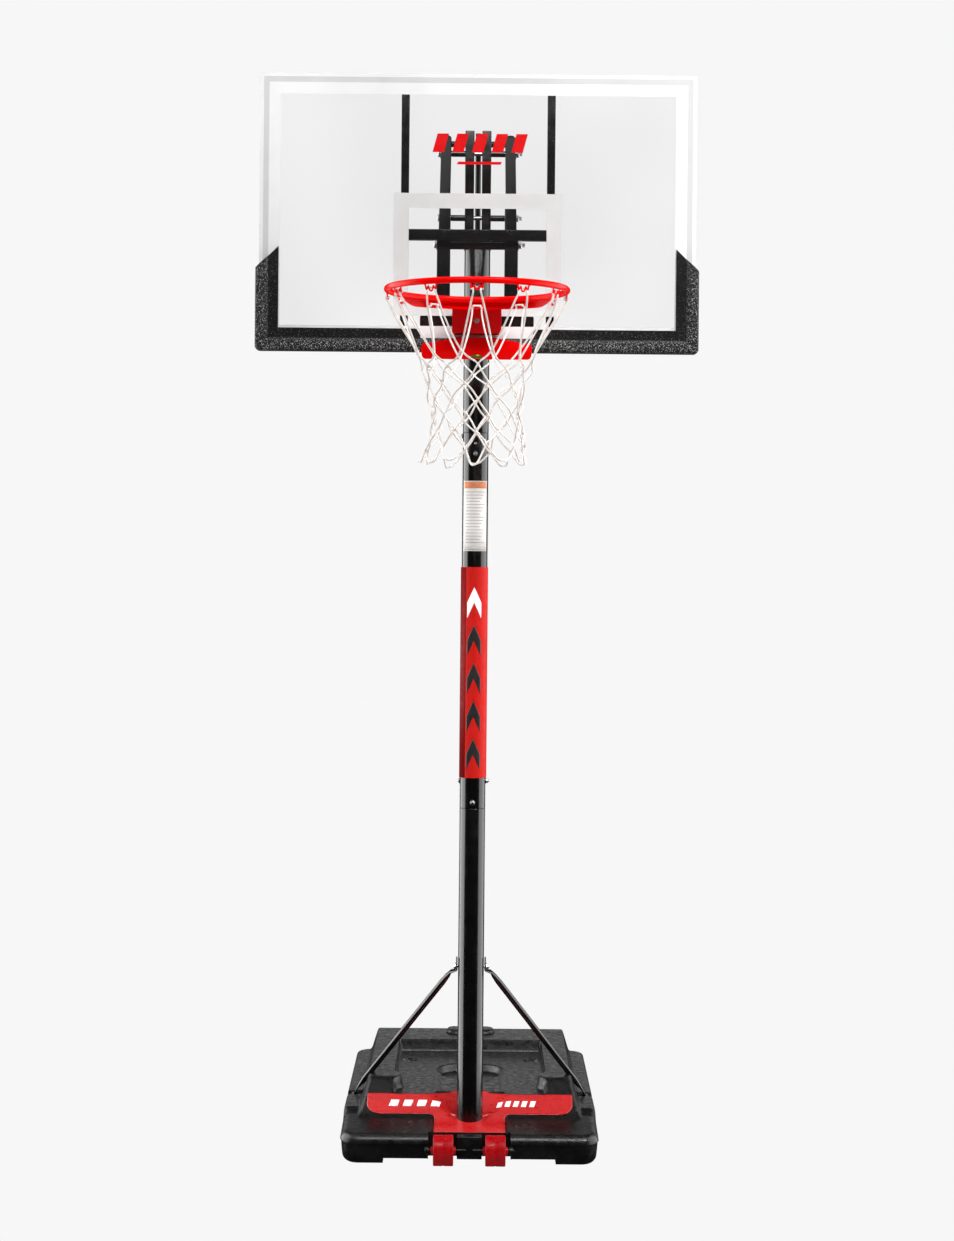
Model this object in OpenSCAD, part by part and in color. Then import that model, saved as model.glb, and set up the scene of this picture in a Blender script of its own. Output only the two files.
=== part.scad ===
// Portable basketball hoop: a ballast base on wheels, a pole, a four-bar lift and a breakaway rim.
// +X is to the right of someone facing the board, +Y points behind it, +Z is up.
// The origin lies on the floor, under the middle of the whole hoop.

/* [Backboard] */
// Width of the clear panel
board_w = 1219; // [1100:1:1380]
// Height of the clear panel
board_h = 762; // [700:1:800]
// Height of the panel's bottom edge above the floor, at the lowest setting
board_bottom = 2339; // [2300:1:2400]
// Distance from the pole's axis forward to the panel's face, at the lowest setting
board_reach = 410; // [405:1:430]
// Thickness of the clear panel
panel_t = 5; // [4:0.5:8]

/* [Rim] */
// Inside diameter of the ring
rim_inner_d = 457; // [450:1:460]
// Diameter of the ring's rod
rim_rod_d = 17; // [15:1:19]
// Height of the ring's top above the floor, at the lowest setting
rim_height = 2464; // [2460:1:2470]
// Distance from the panel's face to the middle of the ring
rim_reach = 381; // [378:1:390]
// Length of the net
net_length = 455; // [380:1:500]

/* [Lift] */
// Distance between the pivots of one arm
arm_length = 470; // [460:1:480]
// Slope of the arms at the lowest setting, in degrees
arm_slope = 42; // [41:0.5:43]
// Height of the upper pole pivot
upper_pivot_z = 2946; // [2940:1:2950]
// Vertical distance between the two pivots on the pole
pivot_gap = 190; // [188:1:192]
// Distance from the middle to the centre of each arm
arm_x = 95; // [93:1:98]

/* [Pole] */
// Outside diameter of the pole
pole_d = 76; // [74:1:78]
// Wall of the pole's tubes
pole_wall = 2; // [1.5:0.5:3]
// Height of the joint between the lower and middle sections
lower_joint_z = 1013; // [950:1:1020]
// Height of the joint between the middle and upper sections
upper_joint_z = 2120; // [2115:1:2200]
// Height of the top of the upper section
pole_top_z = 2660; // [2650:1:2670]

/* [Base] */
// Width of the tank
base_w = 750; // [740:1:790]
// Length of the tank
base_l = 1130; // [1100:1:1150]
// Distance from the pole's axis forward to the tank's front
base_front = 190; // [186:1:192]
// Height of the raised edge round the tray
base_h = 187; // [180:1:195]
// Height of the tray's floor
tray_z = 150; // [145:1:154]
// Height of the side ledges
ledge_z = 115; // [110:1:118]
// Radius of the wheels
wheel_r = 44; // [42:1:45]
// Width of the wheels
wheel_w = 58; // [50:1:58]

/* [Hidden] */
$fn = 64;

// Where the main parts stand, front to back; the pole's axis is at y = 0 until place() moves it.
face_y = -board_reach;
rim_y = face_y - rim_reach;
rim_rod_r = rim_rod_d / 2;
rim_r = rim_inner_d / 2 + rim_rod_r;
rim_z = rim_height - rim_rod_r;
front_extent = -rim_y + rim_r + rim_rod_r;
rear_extent = base_l - base_front;
pole_y = (front_extent - rear_extent) / 2;

// Backboard levels and depths
board_top = board_bottom + board_h;
board_mid = board_bottom + board_h / 2;
frame_y = face_y + panel_t;
frame_depth = 25;
frame_w = 22;
frame_inset = 10;
upright_x = 204;
cross_bar_z = 2653;
cross_bar_h = 30;
channel_y = frame_y + frame_depth;
channel_depth = 52;
channel_w = 37;
channel_wall = 3;
channel_low = board_bottom + frame_inset;
channel_high = 2668;
print_t = 0.3;
border_w = 48;
target_w = 469;
target_h = 342;
target_line = 42;
target_low = 2426;

// Lift
lower_pivot_z = upper_pivot_z - pivot_gap;
board_pivot_y = -arm_length * cos(arm_slope);
board_upper_z = upper_pivot_z - arm_length * sin(arm_slope);
board_lower_z = board_upper_z - pivot_gap;
arm_w = 30;
arm_h = 38;
arm_wall = 2;
arm_tail = 64;
pivot_r = 6;
run_fit = 0.05;
open_fit = 0.3;
tie_tail = 52;
tie_r = 9;
tie_y = tie_tail * cos(arm_slope);
tie_z = upper_pivot_z + tie_tail * sin(arm_slope);
head_half = 35;
head_gap = 12;
head_depth = 50;
head_top = 3011;

// Height adjuster, behind the pole
rod_r = 8.5;
rod_y = 50;
rod_low = 1990;
yoke_gap = tie_r + 2.5;
yoke_jaw = 20;
guide_z = 2075;
guide_h = 90;
lever_z = 2030;

// Breakaway rim
bracket_half = 68;
bracket_low = 2371;
bracket_high = 2444;
mount_half = 62;
mount_t = 6;
mount_low = 2372;
mount_high = 2440;
mount_bolt_r = 4;
mount_bolt_x = [-50, 50];
mount_bolt_z = [2397, 2427];
mount_ear_x = 60;
back_plate_z = 2411;
bracket_bolt_z = 2405;
bracket_front = face_y - 75;
bracket_back = face_y - 9;
bracket_wall = 4;
pin_y = face_y - 18;
pin_z = 2384;
pin_r = 5;
gusset_t = 5;
hook_count = 12;
hook_wire_r = 2.4;
hook_r = 9;
net_waist = [[190, 2385], [166, 2320], [144, 2255], [124, 2180], [117, 2126], [126, 2065]];
plate_half = 153;
plate_low = 2303;
plate_high = 2364;

// Edge pad
pad_out = 9;
pad_drop = 15;
pad_inner_w = 55;
pad_front = 16;
pad_rise = 292;
pad_cut = 62;
pad_notch = 157;
frame_x = board_w / 2 - frame_inset;
frame_low = board_bottom + frame_inset;
frame_high = board_top - frame_inset;
pad_x = board_w / 2 + pad_out;
pad_low = board_bottom - pad_drop;
pad_high = pad_low + pad_rise;
pad_y0 = face_y - pad_front;
pad_y1 = frame_y + frame_depth;
arm_in = board_w / 2 - pad_inner_w;
bottom_in = board_bottom + pad_inner_w - 5;

// Base
base_y0 = -base_front;
base_y1 = rear_extent;
base_mid_y = (base_y0 + base_y1) / 2;
foot_h = 20;
foot_w = 125;
shoulder_z = 102;
shelf_z = 87;
deck_half = 306;
deck_foot_half = 332;
tray_half = 232;
tray_back = 735;
slope_y = 75;
slope_low_y = -38;
well_out = 119;
well_back = -150;
axle_y = -198;
axle_z = 47;
axle_r = 5;
wheel_x = 75;
pillar_half = 21;
strut_foot = [350, 256, 122];
strut_head = [47, 0, 545];
strut_r = 9.5;
strut_bolt_r = 4;
foot_bolt_y = 258;
foot_bolt_z = 108;
neck_y = 865;
neck_r = 24;
neck_z = 199;
tank_wall = 7;
lobe = [262, 185, 52];
basin_y = 430;
basin_r = 105;
basin_depth = 22;
panel_half = 93;
panel_y0 = 110;
panel_y1 = 400;
panel_depth = 8;
hole = [195, 583, 25];
hole_depth = 18;
neck_w = 160;
neck_l = 80;
slot_y0 = 232;
slot_y1 = 280;
ear_x = 123;
stub_x = 127;
pole_foot_z = 60;
sleeve_low = 1104;
sleeve_high = 1725;
sleeve_t = 2.2;
label_low = 1772;
label_high = 1979;
label_half = 33;
lock_bolt_r = 6;
side_lock_z = 1094;
front_lock_z = 1032;
top_lock_z = 2112;
guide_bolt_r = 4;
guide_bolt_z = [2089, 2059, 2033];
decal_half = 305;
tongue_half = 104;

module place() {
    translate([0, pole_y, 0]) children();
}

// A plane shape drawn in Y and Z, made into a bar from x0 to x1
module along_x(x0, x1) {
    translate([x0, 0, 0]) rotate([90, 0, 90]) linear_extrude(x1 - x0) children();
}

// A plane shape drawn in X and Z, made into a plate from y0 to y1
module along_y(y0, y1) {
    translate([0, y1, 0]) rotate([90, 0, 0]) linear_extrude(y1 - y0) children();
}

module box(low, high) {
    translate(low) cube(high - low);
}

module rod_x(x0, x1, y, z, r) {
    translate([x0, y, z]) rotate([0, 90, 0]) cylinder(h = x1 - x0, r = r);
}

module rod_y(y0, y1, x, z, r) {
    translate([x, y0, z]) rotate([-90, 0, 0]) cylinder(h = y1 - y0, r = r);
}

// A bar from point p to point q, round unless it is given a few sides
module rod_between(p, q, r, sides = 64) {
    d = q - p;
    length = norm(d);
    translate(p) rotate([0, acos(d[2] / length), atan2(d[1], d[0])]) cylinder(h = length, r = r, $fn = sides);
}

module rounded_rect(w, l, r) {
    square([w - 2 * r, l], center = true);
    square([w, l - 2 * r], center = true);
    for (x = [-1, 1], y = [-1, 1]) {
        translate([x * (w / 2 - r), y * (l / 2 - r)]) circle(r);
    }
}

module tube_z(z0, z1, outer, inner) {
    translate([0, 0, z0]) difference() {
        cylinder(h = z1 - z0, r = outer);
        translate([0, 0, -1]) cylinder(h = z1 - z0 + 2, r = inner);
    }
}

// Hexagon head on an X bolt; side is the way that the head points
module hex_x(x, y, z, side, r = 10, h = 7) {
    translate([x, y, z]) rotate([0, 90 * side, 0]) cylinder(h = h, r = r, $fn = 6);
}

// ---------- Base ----------
// The ledges and shoulders, with the shelf in front of the pole a little lower than the shoulders
module base_foot() {
    difference() {
        intersection() {
            translate([0, base_mid_y, 0]) linear_extrude(base_h + 20) rounded_rect(base_w, base_l, 55);
            along_x(-base_w, base_w) polygon([
                [base_y0, 0], [base_y1, 0], [base_y1, ledge_z - 20], [base_y1 - 20, ledge_z],
                [60, ledge_z], [20, shoulder_z], [base_y0 + 24, shoulder_z], [base_y0, shoulder_z - 24]
            ]);
        }
        box([-tongue_half, base_y0 - 30, shelf_z], [tongue_half, 0, shoulder_z + 20]);
    }
}

module base_outer() {
    base_foot();
    intersection() {
        along_y(-60, base_y1 - 8) polygon([
            [-deck_foot_half, 50], [deck_foot_half, 50], [deck_foot_half, shoulder_z],
            [deck_half, base_h], [-deck_half, base_h], [-deck_foot_half, shoulder_z]
        ]);
        along_x(-base_w, base_w) polygon([
            [slope_low_y, 50], [slope_low_y, shelf_z],
            [slope_y, tray_z],
            [slope_y + (base_h - tray_z) * (slope_y - slope_low_y) / (tray_z - shelf_z), base_h],
            [base_y1 - 30, base_h], [base_y1 - 8, base_h - 22], [base_y1 - 8, 50]
        ]);
    }
    translate([0, neck_y, 0]) linear_extrude(neck_z) rounded_rect(neck_w, neck_l, 30);
}

module base_tray_cut() {
    difference() {
        box([-tray_half, -90, tray_z], [tray_half, tray_back, base_h + 30]);
        for (s = [-1, 1]) {
            translate([s * lobe[0], lobe[1], 0]) cylinder(h = base_h, r = lobe[2]);
        }
    }
    translate([0, basin_y, tray_z - basin_depth]) cylinder(h = 60, r = basin_r);
    box([-panel_half, panel_y0, tray_z - panel_depth], [panel_half, panel_y1, base_h]);
    for (s = [-1, 1]) {
        translate([s * hole[0], hole[1], tray_z - hole_depth]) cylinder(h = 60, r = hole[2]);
    }
}

module base_front_cut() {
    box([-well_out, base_y0 - 30, -1], [well_out, well_back, shoulder_z + 20]);
    box([-base_w / 2 + foot_w, base_y0 - 30, -1], [base_w / 2 - foot_w, base_y1 - 90, foot_h]);
}

// The water's room inside the tank, drawn smaller on every side but the floor by gap
module tank_hollow(gap) {
    back = base_y1 - 40 - gap;
    box([-330 + gap, -90 + gap, foot_h + tank_wall], [330 - gap, back, shelf_z - tank_wall - gap]);
    box([-315 + gap, 30 + gap, 60], [315 - gap, back, ledge_z - 16 - gap]);
    box([-285 + gap, 112 + gap, 60], [285 - gap, back, tray_z - 32 - gap]);
}

module base_tank() {
    color([0.06, 0.06, 0.06]) place() difference() {
        union() {
            difference() {
                base_outer();
                base_tray_cut();
                base_front_cut();
            }
            box([-pillar_half, -206, foot_h], [pillar_half, well_back + 1, 74]);
            for (s = [-1, 1]) {
                rod_x(s * ear_x - 11, s * ear_x + 11, axle_y, axle_z, 15);
                box([s * stub_x - 8, axle_y, axle_z - 12], [s * stub_x + 8, base_y0 + 40, axle_z + 12]);
            }
        }
        difference() {
            tank_hollow(0);
            cylinder(h = 130, r = pole_d / 2 + 12);
        }
        translate([0, neck_y, 80]) cylinder(h = 200, r = neck_r);
        translate([0, 0, pole_foot_z]) cylinder(h = 200, r = pole_d / 2);
        for (s = [-1, 1]) {
            axle(s);
            rod_x(s * 320 - 30, s * 320 + 30, foot_bolt_y, foot_bolt_z, strut_bolt_r);
            strut_groove(s);
        }
    }
}

// The groove that each strut lies in where it crosses the raised edge and meets the ledge
module strut_groove(s) {
    low = [s * (strut_foot[0] + 12), strut_foot[1] + 10, strut_foot[2] - 17];
    run = [s * (strut_head[0] - strut_foot[0]), -strut_foot[1], strut_head[2] - strut_foot[2]];
    high = low + 0.485 * run;
    rod_between(low, high, strut_r + 6, 8);
    box(
        [s * strut_foot[0] - 30, slot_y0, ledge_z - 22],
        [s * strut_foot[0] + 30, slot_y1, base_h + 30]
    );
}

module ballast() {
    color([0.35, 0.5, 0.6]) place() difference() {
        tank_hollow(1);
        cylinder(h = 130, r = pole_d / 2 + 13);
    }
}

module fill_cap() {
    color([0.05, 0.05, 0.05]) place() translate([0, neck_y, 0]) {
        translate([0, 0, neck_z]) cylinder(h = 9, r = neck_r + 8);
        translate([0, 0, neck_z - 30]) cylinder(h = 30, r = neck_r - 0.3);
        translate([-neck_r, -3, neck_z + 9]) cube([2 * neck_r, 6, 8]);
    }
}

// The red sheet stuck over the tank's slope, with a tongue down to the shelf's edge
module base_decal() {
    rise = (tray_z - shelf_z) / (slope_y - slope_low_y);
    thick = 0.8;
    color([0.8, 0.03, 0.04]) place() difference() {
        intersection() {
            along_x(-base_w / 2, base_w / 2) polygon([
                [slope_y, tray_z], [slope_low_y, shelf_z], [well_back, shelf_z],
                [well_back, shelf_z + thick], [slope_low_y - thick / 2, shelf_z + thick],
                [slope_y - thick, tray_z + thick * (1 - rise)], [slope_y, tray_z + thick]
            ]);
            along_y(well_back - 1, slope_y + 1) union() {
                translate([-tongue_half, shelf_z - 10]) square([2 * tongue_half, tray_z - shelf_z]);
                translate([-decal_half, tray_z - 22]) square([2 * decal_half, 24]);
                translate([0, tray_z - 23]) rounded_rect(2 * decal_half, 50, 24);
            }
        }
        translate([0, 0, pole_foot_z]) cylinder(h = 200, r = pole_d / 2 + 3);
    }
}

module wheel_axles() {
    color([0.8, 0.8, 0.82]) place() for (s = [-1, 1]) {
        axle(s);
    }
}

module axle(s) {
    rod_x(s * 69 - 60, s * 69 + 60, axle_y, axle_z, axle_r);
}

module wheel(s) {
    half = wheel_w / 2;
    color([0.8, 0.03, 0.04]) place() translate([s * wheel_x, axle_y, axle_z]) rotate([0, 90, 0]) {
        difference() {
            union() {
                rotate_extrude() polygon([
                    [0, -half], [wheel_r - 3, -half], [wheel_r, -half + 3],
                    [wheel_r, half - 3], [wheel_r - 3, half], [0, half]
                ]);
                cylinder(h = wheel_w + 14, r = 11, center = true);
            }
            cylinder(h = 200, r = axle_r + run_fit, center = true);
        }
    }
}

module wheel_left() { wheel(-1); }
module wheel_right() { wheel(1); }

// ---------- Pole ----------
module pole_lower() {
    color([0.03, 0.03, 0.03]) place() difference() {
        tube_z(pole_foot_z, lower_joint_z, pole_d / 2, pole_d / 2 - pole_wall);
        rod_x(-pole_d, pole_d, 0, strut_head[2], strut_bolt_r);
    }
}

// A section whose narrowed lower end slides down into the section below
module swaged_section(z0, z1) {
    inner = pole_d / 2 - pole_wall;
    tube_z(z0, z1, pole_d / 2, inner);
    tube_z(z0 - 110, z0 + 1, inner - 0.1, inner - pole_wall);
    tube_z(z0, z0 + 5, pole_d / 2 - pole_wall / 2, inner - pole_wall);
}

module pole_middle() {
    color([0.03, 0.03, 0.03]) place() difference() {
        swaged_section(lower_joint_z, upper_joint_z);
        pole_bolt_shapes(3);
    }
}

module pole_upper() {
    color([0.03, 0.03, 0.03]) place() swaged_section(upper_joint_z, pole_top_z);
}

// Short bolts in the tube's wall that lock the sections and hold the adjuster's guide; depth is
// how far they reach in, and their holes reach further than the bolts do
module pole_bolt_shapes(depth) {
    r = pole_d / 2;
    rod_x(r - depth, r + 6, 0, side_lock_z, lock_bolt_r);
    rod_x(-r - 6, -r + depth, 0, side_lock_z, lock_bolt_r);
    rod_y(-r - 5, -r + depth, 0, front_lock_z, lock_bolt_r);
    rod_x(-r - 6, -r + depth, 0, top_lock_z, lock_bolt_r);
    for (z = guide_bolt_z) {
        rod_y(-r - 3, -r + depth, 0, z, guide_bolt_r);
    }
}

module pole_bolts() {
    color([0.75, 0.75, 0.77]) place() pole_bolt_shapes(pole_wall);
}

module pole_sleeve() {
    color([0.85, 0.05, 0.03]) place() tube_z(sleeve_low, sleeve_high, pole_d / 2 + sleeve_t, pole_d / 2);
}

module pole_label() {
    color([0.9, 0.9, 0.88]) place() intersection() {
        tube_z(label_low, label_high, pole_d / 2 + 0.5, pole_d / 2);
        box([-label_half, -pole_d, label_low], [label_half, 0, label_high]);
    }
}

module strut(s) {
    foot = [s * strut_foot[0], strut_foot[1], strut_foot[2]];
    head = [s * strut_head[0], strut_head[1], strut_head[2]];
    way = (foot - head) / norm(foot - head);
    color([0.03, 0.03, 0.03]) place() {
        difference() {
            union() {
                rod_between(head + 26 * way, foot - 6 * way, strut_r);
                translate([s * (pole_d / 2 + 4), 0, strut_head[2] - 6]) cube([4, 24, 54], center = true);
                rod_between(head + [0, 0, -22], head + 44 * way, 6);
                rod_between(foot - 16 * way, [foot[0], foot_bolt_y, foot_bolt_z], 6);
                translate([foot[0], foot_bolt_y, foot_bolt_z + 4]) cube([6, 22, 34], center = true);
            }
            rod_x(-90, 90, 0, strut_head[2], strut_bolt_r);
            rod_x(foot[0] - 30, foot[0] + 30, foot_bolt_y, foot_bolt_z, strut_bolt_r);
            rod_x(foot[0] + s * 8 - 5, foot[0] + s * 8 + 5, foot_bolt_y, foot_bolt_z, 9);
        }
    }
}

module strut_left() { strut(-1); }
module strut_right() { strut(1); }

module strut_bolt() {
    reach = pole_d / 2 + 14;
    color([0.75, 0.75, 0.77]) place() {
        rod_x(-reach, reach, 0, strut_head[2], strut_bolt_r);
        for (s = [-1, 1]) {
            hex_x(s * (pole_d / 2 + 6), 0, strut_head[2], s, 8, 6);
        }
    }
}

module strut_foot_bolts() {
    color([0.75, 0.75, 0.77]) place() for (s = [-1, 1]) {
        rod_x(s * 324 - 33, s * 324 + 33, foot_bolt_y, foot_bolt_z, strut_bolt_r);
        hex_x(s * (strut_foot[0] + 3), foot_bolt_y, foot_bolt_z, s, 8, 6);
    }
}

// ---------- Head of the pole ----------
module pole_head() {
    color([0.03, 0.03, 0.03]) place() {
        translate([0, 0, pole_top_z]) cylinder(h = 6, r = pole_d / 2 + 2);
        for (s = [-1, 1]) {
            middle = s * (head_half + head_gap) / 2;
            half = (head_half - head_gap) / 2;
            difference() {
                box(
                    [middle - half, -head_depth / 2, pole_top_z + 5],
                    [middle + half, head_depth / 2, head_top]
                );
                box(
                    [middle - 9, -head_depth / 2 + 3, pole_top_z + 10],
                    [middle + 9, head_depth / 2 - 3, head_top + 1]
                );
                for (z = [lower_pivot_z, upper_pivot_z]) {
                    rod_x(-60, 60, 0, z, pivot_r);
                }
            }
        }
    }
}

module pivot_bolt(y, z, reach) {
    rod_x(-reach, reach + 16, y, z, pivot_r);
    hex_x(-reach, y, z, -1);
    hex_x(reach, y, z, 1, 10, 9);
}

module pole_pivot_bolts() {
    color([0.75, 0.75, 0.77]) place() for (z = [lower_pivot_z, upper_pivot_z]) {
        pivot_bolt(0, z, arm_x + arm_w / 2 + 1);
    }
}

module pole_pivot_spacers() {
    color([0.03, 0.03, 0.03]) place() for (z = [lower_pivot_z, upper_pivot_z], s = [-1, 1]) {
        middle = s * (head_half + arm_x - arm_w / 2) / 2;
        half = (arm_x - arm_w / 2 - head_half) / 2 - 0.4;
        difference() {
            rod_x(middle - half, middle + half, 0, z, 9);
            rod_x(-100, 100, 0, z, pivot_r);
        }
    }
}

// ---------- Arms ----------
// One arm, lying along Y from its pole pivot at the origin towards the front, then tilted down
module arm(s, pivot_z, tail, front_fit) {
    place() translate([s * arm_x, 0, pivot_z]) rotate([arm_slope, 0, 0]) {
        difference() {
            union() {
                box([-arm_w / 2, -arm_length, -arm_h / 2], [arm_w / 2, tail, arm_h / 2]);
                rod_x(-arm_w / 2, arm_w / 2, -arm_length, 0, arm_h / 2);
            }
            box(
                [-arm_w / 2 + arm_wall, -arm_length + 26, -arm_h / 2 + arm_wall],
                [arm_w / 2 - arm_wall, -22, arm_h / 2 - arm_wall]
            );
            rod_x(-arm_w, arm_w, 0, 0, pivot_r + run_fit);
            rod_x(-arm_w, arm_w, -arm_length, 0, pivot_r + front_fit);
        }
    }
}

module lower_arm_left() { color([0.04, 0.04, 0.04]) arm(-1, lower_pivot_z, 28, run_fit); }
module lower_arm_right() { color([0.04, 0.04, 0.04]) arm(1, lower_pivot_z, 28, run_fit); }
module upper_arm_left() { color([0.04, 0.04, 0.04]) arm(-1, upper_pivot_z, arm_tail, open_fit); }
module upper_arm_right() { color([0.04, 0.04, 0.04]) arm(1, upper_pivot_z, arm_tail, open_fit); }

module arm_tie() {
    inner = arm_x - arm_w / 2;
    color([0.03, 0.03, 0.03]) place() rod_x(-inner, inner, tie_y, tie_z, tie_r);
}

module arm_caps() {
    color([0.02, 0.02, 0.02]) place() for (s = [-1, 1]) {
        translate([s * arm_x, 0, upper_pivot_z]) rotate([arm_slope, 0, 0]) intersection() {
            box([-arm_w / 2, arm_tail, -arm_h / 2], [arm_w / 2, arm_tail + 14, arm_h / 2]);
            rod_x(-arm_w, arm_w, arm_tail - 14, 0, 26);
        }
    }
}

// ---------- Height adjuster ----------
module adjuster_guide() {
    r = pole_d / 2;
    color([0.03, 0.03, 0.03]) place() difference() {
        union() {
            translate([0, rod_y, guide_z - guide_h / 2]) cylinder(h = guide_h, r = rod_r + 5);
            box([-20, 28, guide_z - guide_h / 2], [20, rod_y, guide_z + guide_h / 2]);
            for (s = [-1, 1]) {
                box([s * 11 - 3, rod_y, lever_z], [s * 11 + 3, rod_y + 34, lever_z + 30]);
            }
        }
        translate([0, 0, guide_z - guide_h]) cylinder(h = 2 * guide_h, r = r);
        translate([0, rod_y, guide_z - guide_h]) cylinder(h = 2 * guide_h, r = rod_r + run_fit);
        box([-8, rod_y + rod_r + 2, lever_z - 1], [8, rod_y + 40, lever_z + 31]);
        rod_x(-30, 30, rod_y + 24, lever_z + 15, 3);
    }
}

// A rod with a forked yoke at the top, which reaches round the tie between the upper arms
module adjuster_rod() {
    top = tie_z - yoke_gap - yoke_jaw;
    color([0.35, 0.35, 0.37]) place() {
        difference() {
            box([-8, 28, tie_z - yoke_gap - yoke_jaw], [8, 76, tie_z + yoke_gap + yoke_jaw]);
            box([-9, 27, tie_z - yoke_gap], [9, 65, tie_z + yoke_gap]);
        }
        translate([0, rod_y, rod_low]) cylinder(h = top + 4 - rod_low, r = rod_r);
        translate([0, rod_y, rod_low - 110]) cylinder(h = 110, r = rod_r + 3);
    }
}

module lock_lever() {
    y = rod_y + 24;
    z = lever_z + 15;
    color([0.8, 0.04, 0.04]) place() {
        difference() {
            union() {
                rod_x(-7, 7, y, z, 8);
                box([-7, y, z - 7], [7, y + 50, z + 7]);
                box([-7, y + 40, z - 70], [7, y + 54, z + 7]);
            }
            rod_x(-30, 30, y, z, 3 + run_fit);
        }
        rod_x(-14, 14, y, z, 3);
    }
}

// ---------- Backboard ----------
module board_panel() {
    color([0.95, 0.97, 0.97, 0.3]) place() difference() {
        box([-board_w / 2, face_y, board_bottom], [board_w / 2, frame_y - print_t, board_top]);
        mount_bolt_holes(face_y - 1, frame_y + 1);
    }
}

module ring_2d(w, h, line) {
    difference() {
        square([w, h], center = true);
        square([w - 2 * line, h - 2 * line], center = true);
    }
}

// White print on the back of the panel: a border round the edge and the target square
module board_print() {
    color([0.95, 0.95, 0.95]) place() difference() {
        along_y(frame_y - print_t, frame_y) {
            translate([0, board_mid]) ring_2d(board_w, board_h, border_w);
            translate([0, target_low + target_h / 2]) ring_2d(target_w, target_h, target_line);
        }
        mount_bolt_holes(frame_y - 1, frame_y + 1);
    }
}

module frame_bar(low, high) {
    color([0.9, 0.9, 0.9]) place() difference() {
        box([low[0], frame_y, low[1]], [high[0], frame_y + frame_depth, high[1]]);
        if (high[0] - low[0] > high[1] - low[1]) {
            box([low[0] - 1, frame_y + 2, low[1] + 2], [high[0] + 1, frame_y + frame_depth - 2, high[1] - 2]);
        } else {
            box([low[0] + 2, frame_y + 2, low[1] - 1], [high[0] - 2, frame_y + frame_depth - 2, high[1] + 1]);
        }
    }
}

module frame_top() { frame_bar([-frame_x, frame_high - frame_w], [frame_x, frame_high]); }
module frame_bottom() { frame_bar([-frame_x, frame_low], [frame_x, frame_low + frame_w]); }
module frame_side(x) {
    frame_bar([x, frame_low + frame_w], [x + frame_w, frame_high - frame_w]);
}

module frame_left() { frame_side(-frame_x); }
module frame_right() { frame_side(frame_x - frame_w); }

module upright(s) {
    color([0.03, 0.03, 0.03]) place() box(
        [s * upright_x - frame_w / 2, frame_y, frame_low + frame_w],
        [s * upright_x + frame_w / 2, frame_y + frame_depth, frame_high - frame_w]
    );
}

module frame_upright_left() { upright(-1); }
module frame_upright_right() { upright(1); }

module frame_cross_bar() {
    half = upright_x - frame_w / 2;
    color([0.03, 0.03, 0.03]) place() box(
        [-half, frame_y, cross_bar_z - cross_bar_h / 2],
        [half, frame_y + frame_depth, cross_bar_z + cross_bar_h / 2]
    );
}

module back_plate() {
    color([0.03, 0.03, 0.03]) place() difference() {
        translate([0, 0, back_plate_z]) along_y(frame_y, frame_y + mount_t) rounded_rect(318, 56, 15);
        mount_bolt_holes(frame_y - 1, frame_y + mount_t + 1);
    }
}

module mount_bolt_holes(y0, y1) {
    for (x = mount_bolt_x, z = mount_bolt_z) {
        rod_y(y0, y1, x, z, mount_bolt_r);
    }
}

// A U-shaped channel, open to the back, that holds the front ends of the arms
module channel(s) {
    color([0.04, 0.04, 0.04]) place() difference() {
        box(
            [s * arm_x - channel_w / 2, channel_y, channel_low],
            [s * arm_x + channel_w / 2, channel_y + channel_depth, channel_high]
        );
        box(
            [s * arm_x - channel_w / 2 + channel_wall, channel_y + channel_wall, channel_low - 1],
            [s * arm_x + channel_w / 2 - channel_wall, channel_y + channel_depth + 1, channel_high + 1]
        );
        for (z = [board_lower_z, board_upper_z]) {
            rod_x(-130, 130, board_pivot_y, z, pivot_r);
        }
    }
}

module channel_left() { channel(-1); }
module channel_right() { channel(1); }

module board_pivot_bolts() {
    color([0.75, 0.75, 0.77]) place() for (z = [board_lower_z, board_upper_z]) {
        pivot_bolt(board_pivot_y, z, arm_x + channel_w / 2);
    }
}

module board_pivot_tubes() {
    inner = arm_x - channel_w / 2;
    color([0.03, 0.03, 0.03]) place() for (z = [board_lower_z, board_upper_z]) {
        difference() {
            rod_x(-inner, inner, board_pivot_y, z, 13);
            rod_x(-inner - 1, inner + 1, board_pivot_y, z, pivot_r);
        }
    }
}

// ---------- Edge pad ----------
// The space that the panel and its frame fill inside the pad
module board_solid() {
    box([-board_w / 2, face_y, board_bottom], [board_w / 2, frame_y + 1, board_top]);
    box([-frame_x, frame_y, frame_low], [frame_x, pad_y1 + 1, frame_high]);
}

module edge_pad_bottom() {
    color([0.05, 0.05, 0.05]) place() difference() {
        along_y(pad_y0, pad_y1) polygon([
            [-pad_x, pad_low], [pad_x, pad_low], [arm_in, bottom_in], [-arm_in, bottom_in]
        ]);
        board_solid();
        box([-pad_notch, pad_y0 - 1, plate_high], [pad_notch, face_y + 1, bottom_in + 1]);
    }
}

module edge_pad_side(s) {
    color([0.05, 0.05, 0.05]) place() difference() {
        along_y(pad_y0, pad_y1) polygon([
            [s * pad_x, pad_low], [s * pad_x, pad_high - pad_cut],
            [s * arm_in, pad_high], [s * arm_in, bottom_in]
        ]);
        board_solid();
    }
}

module edge_pad_left() { edge_pad_side(-1); }
module edge_pad_right() { edge_pad_side(1); }

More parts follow.
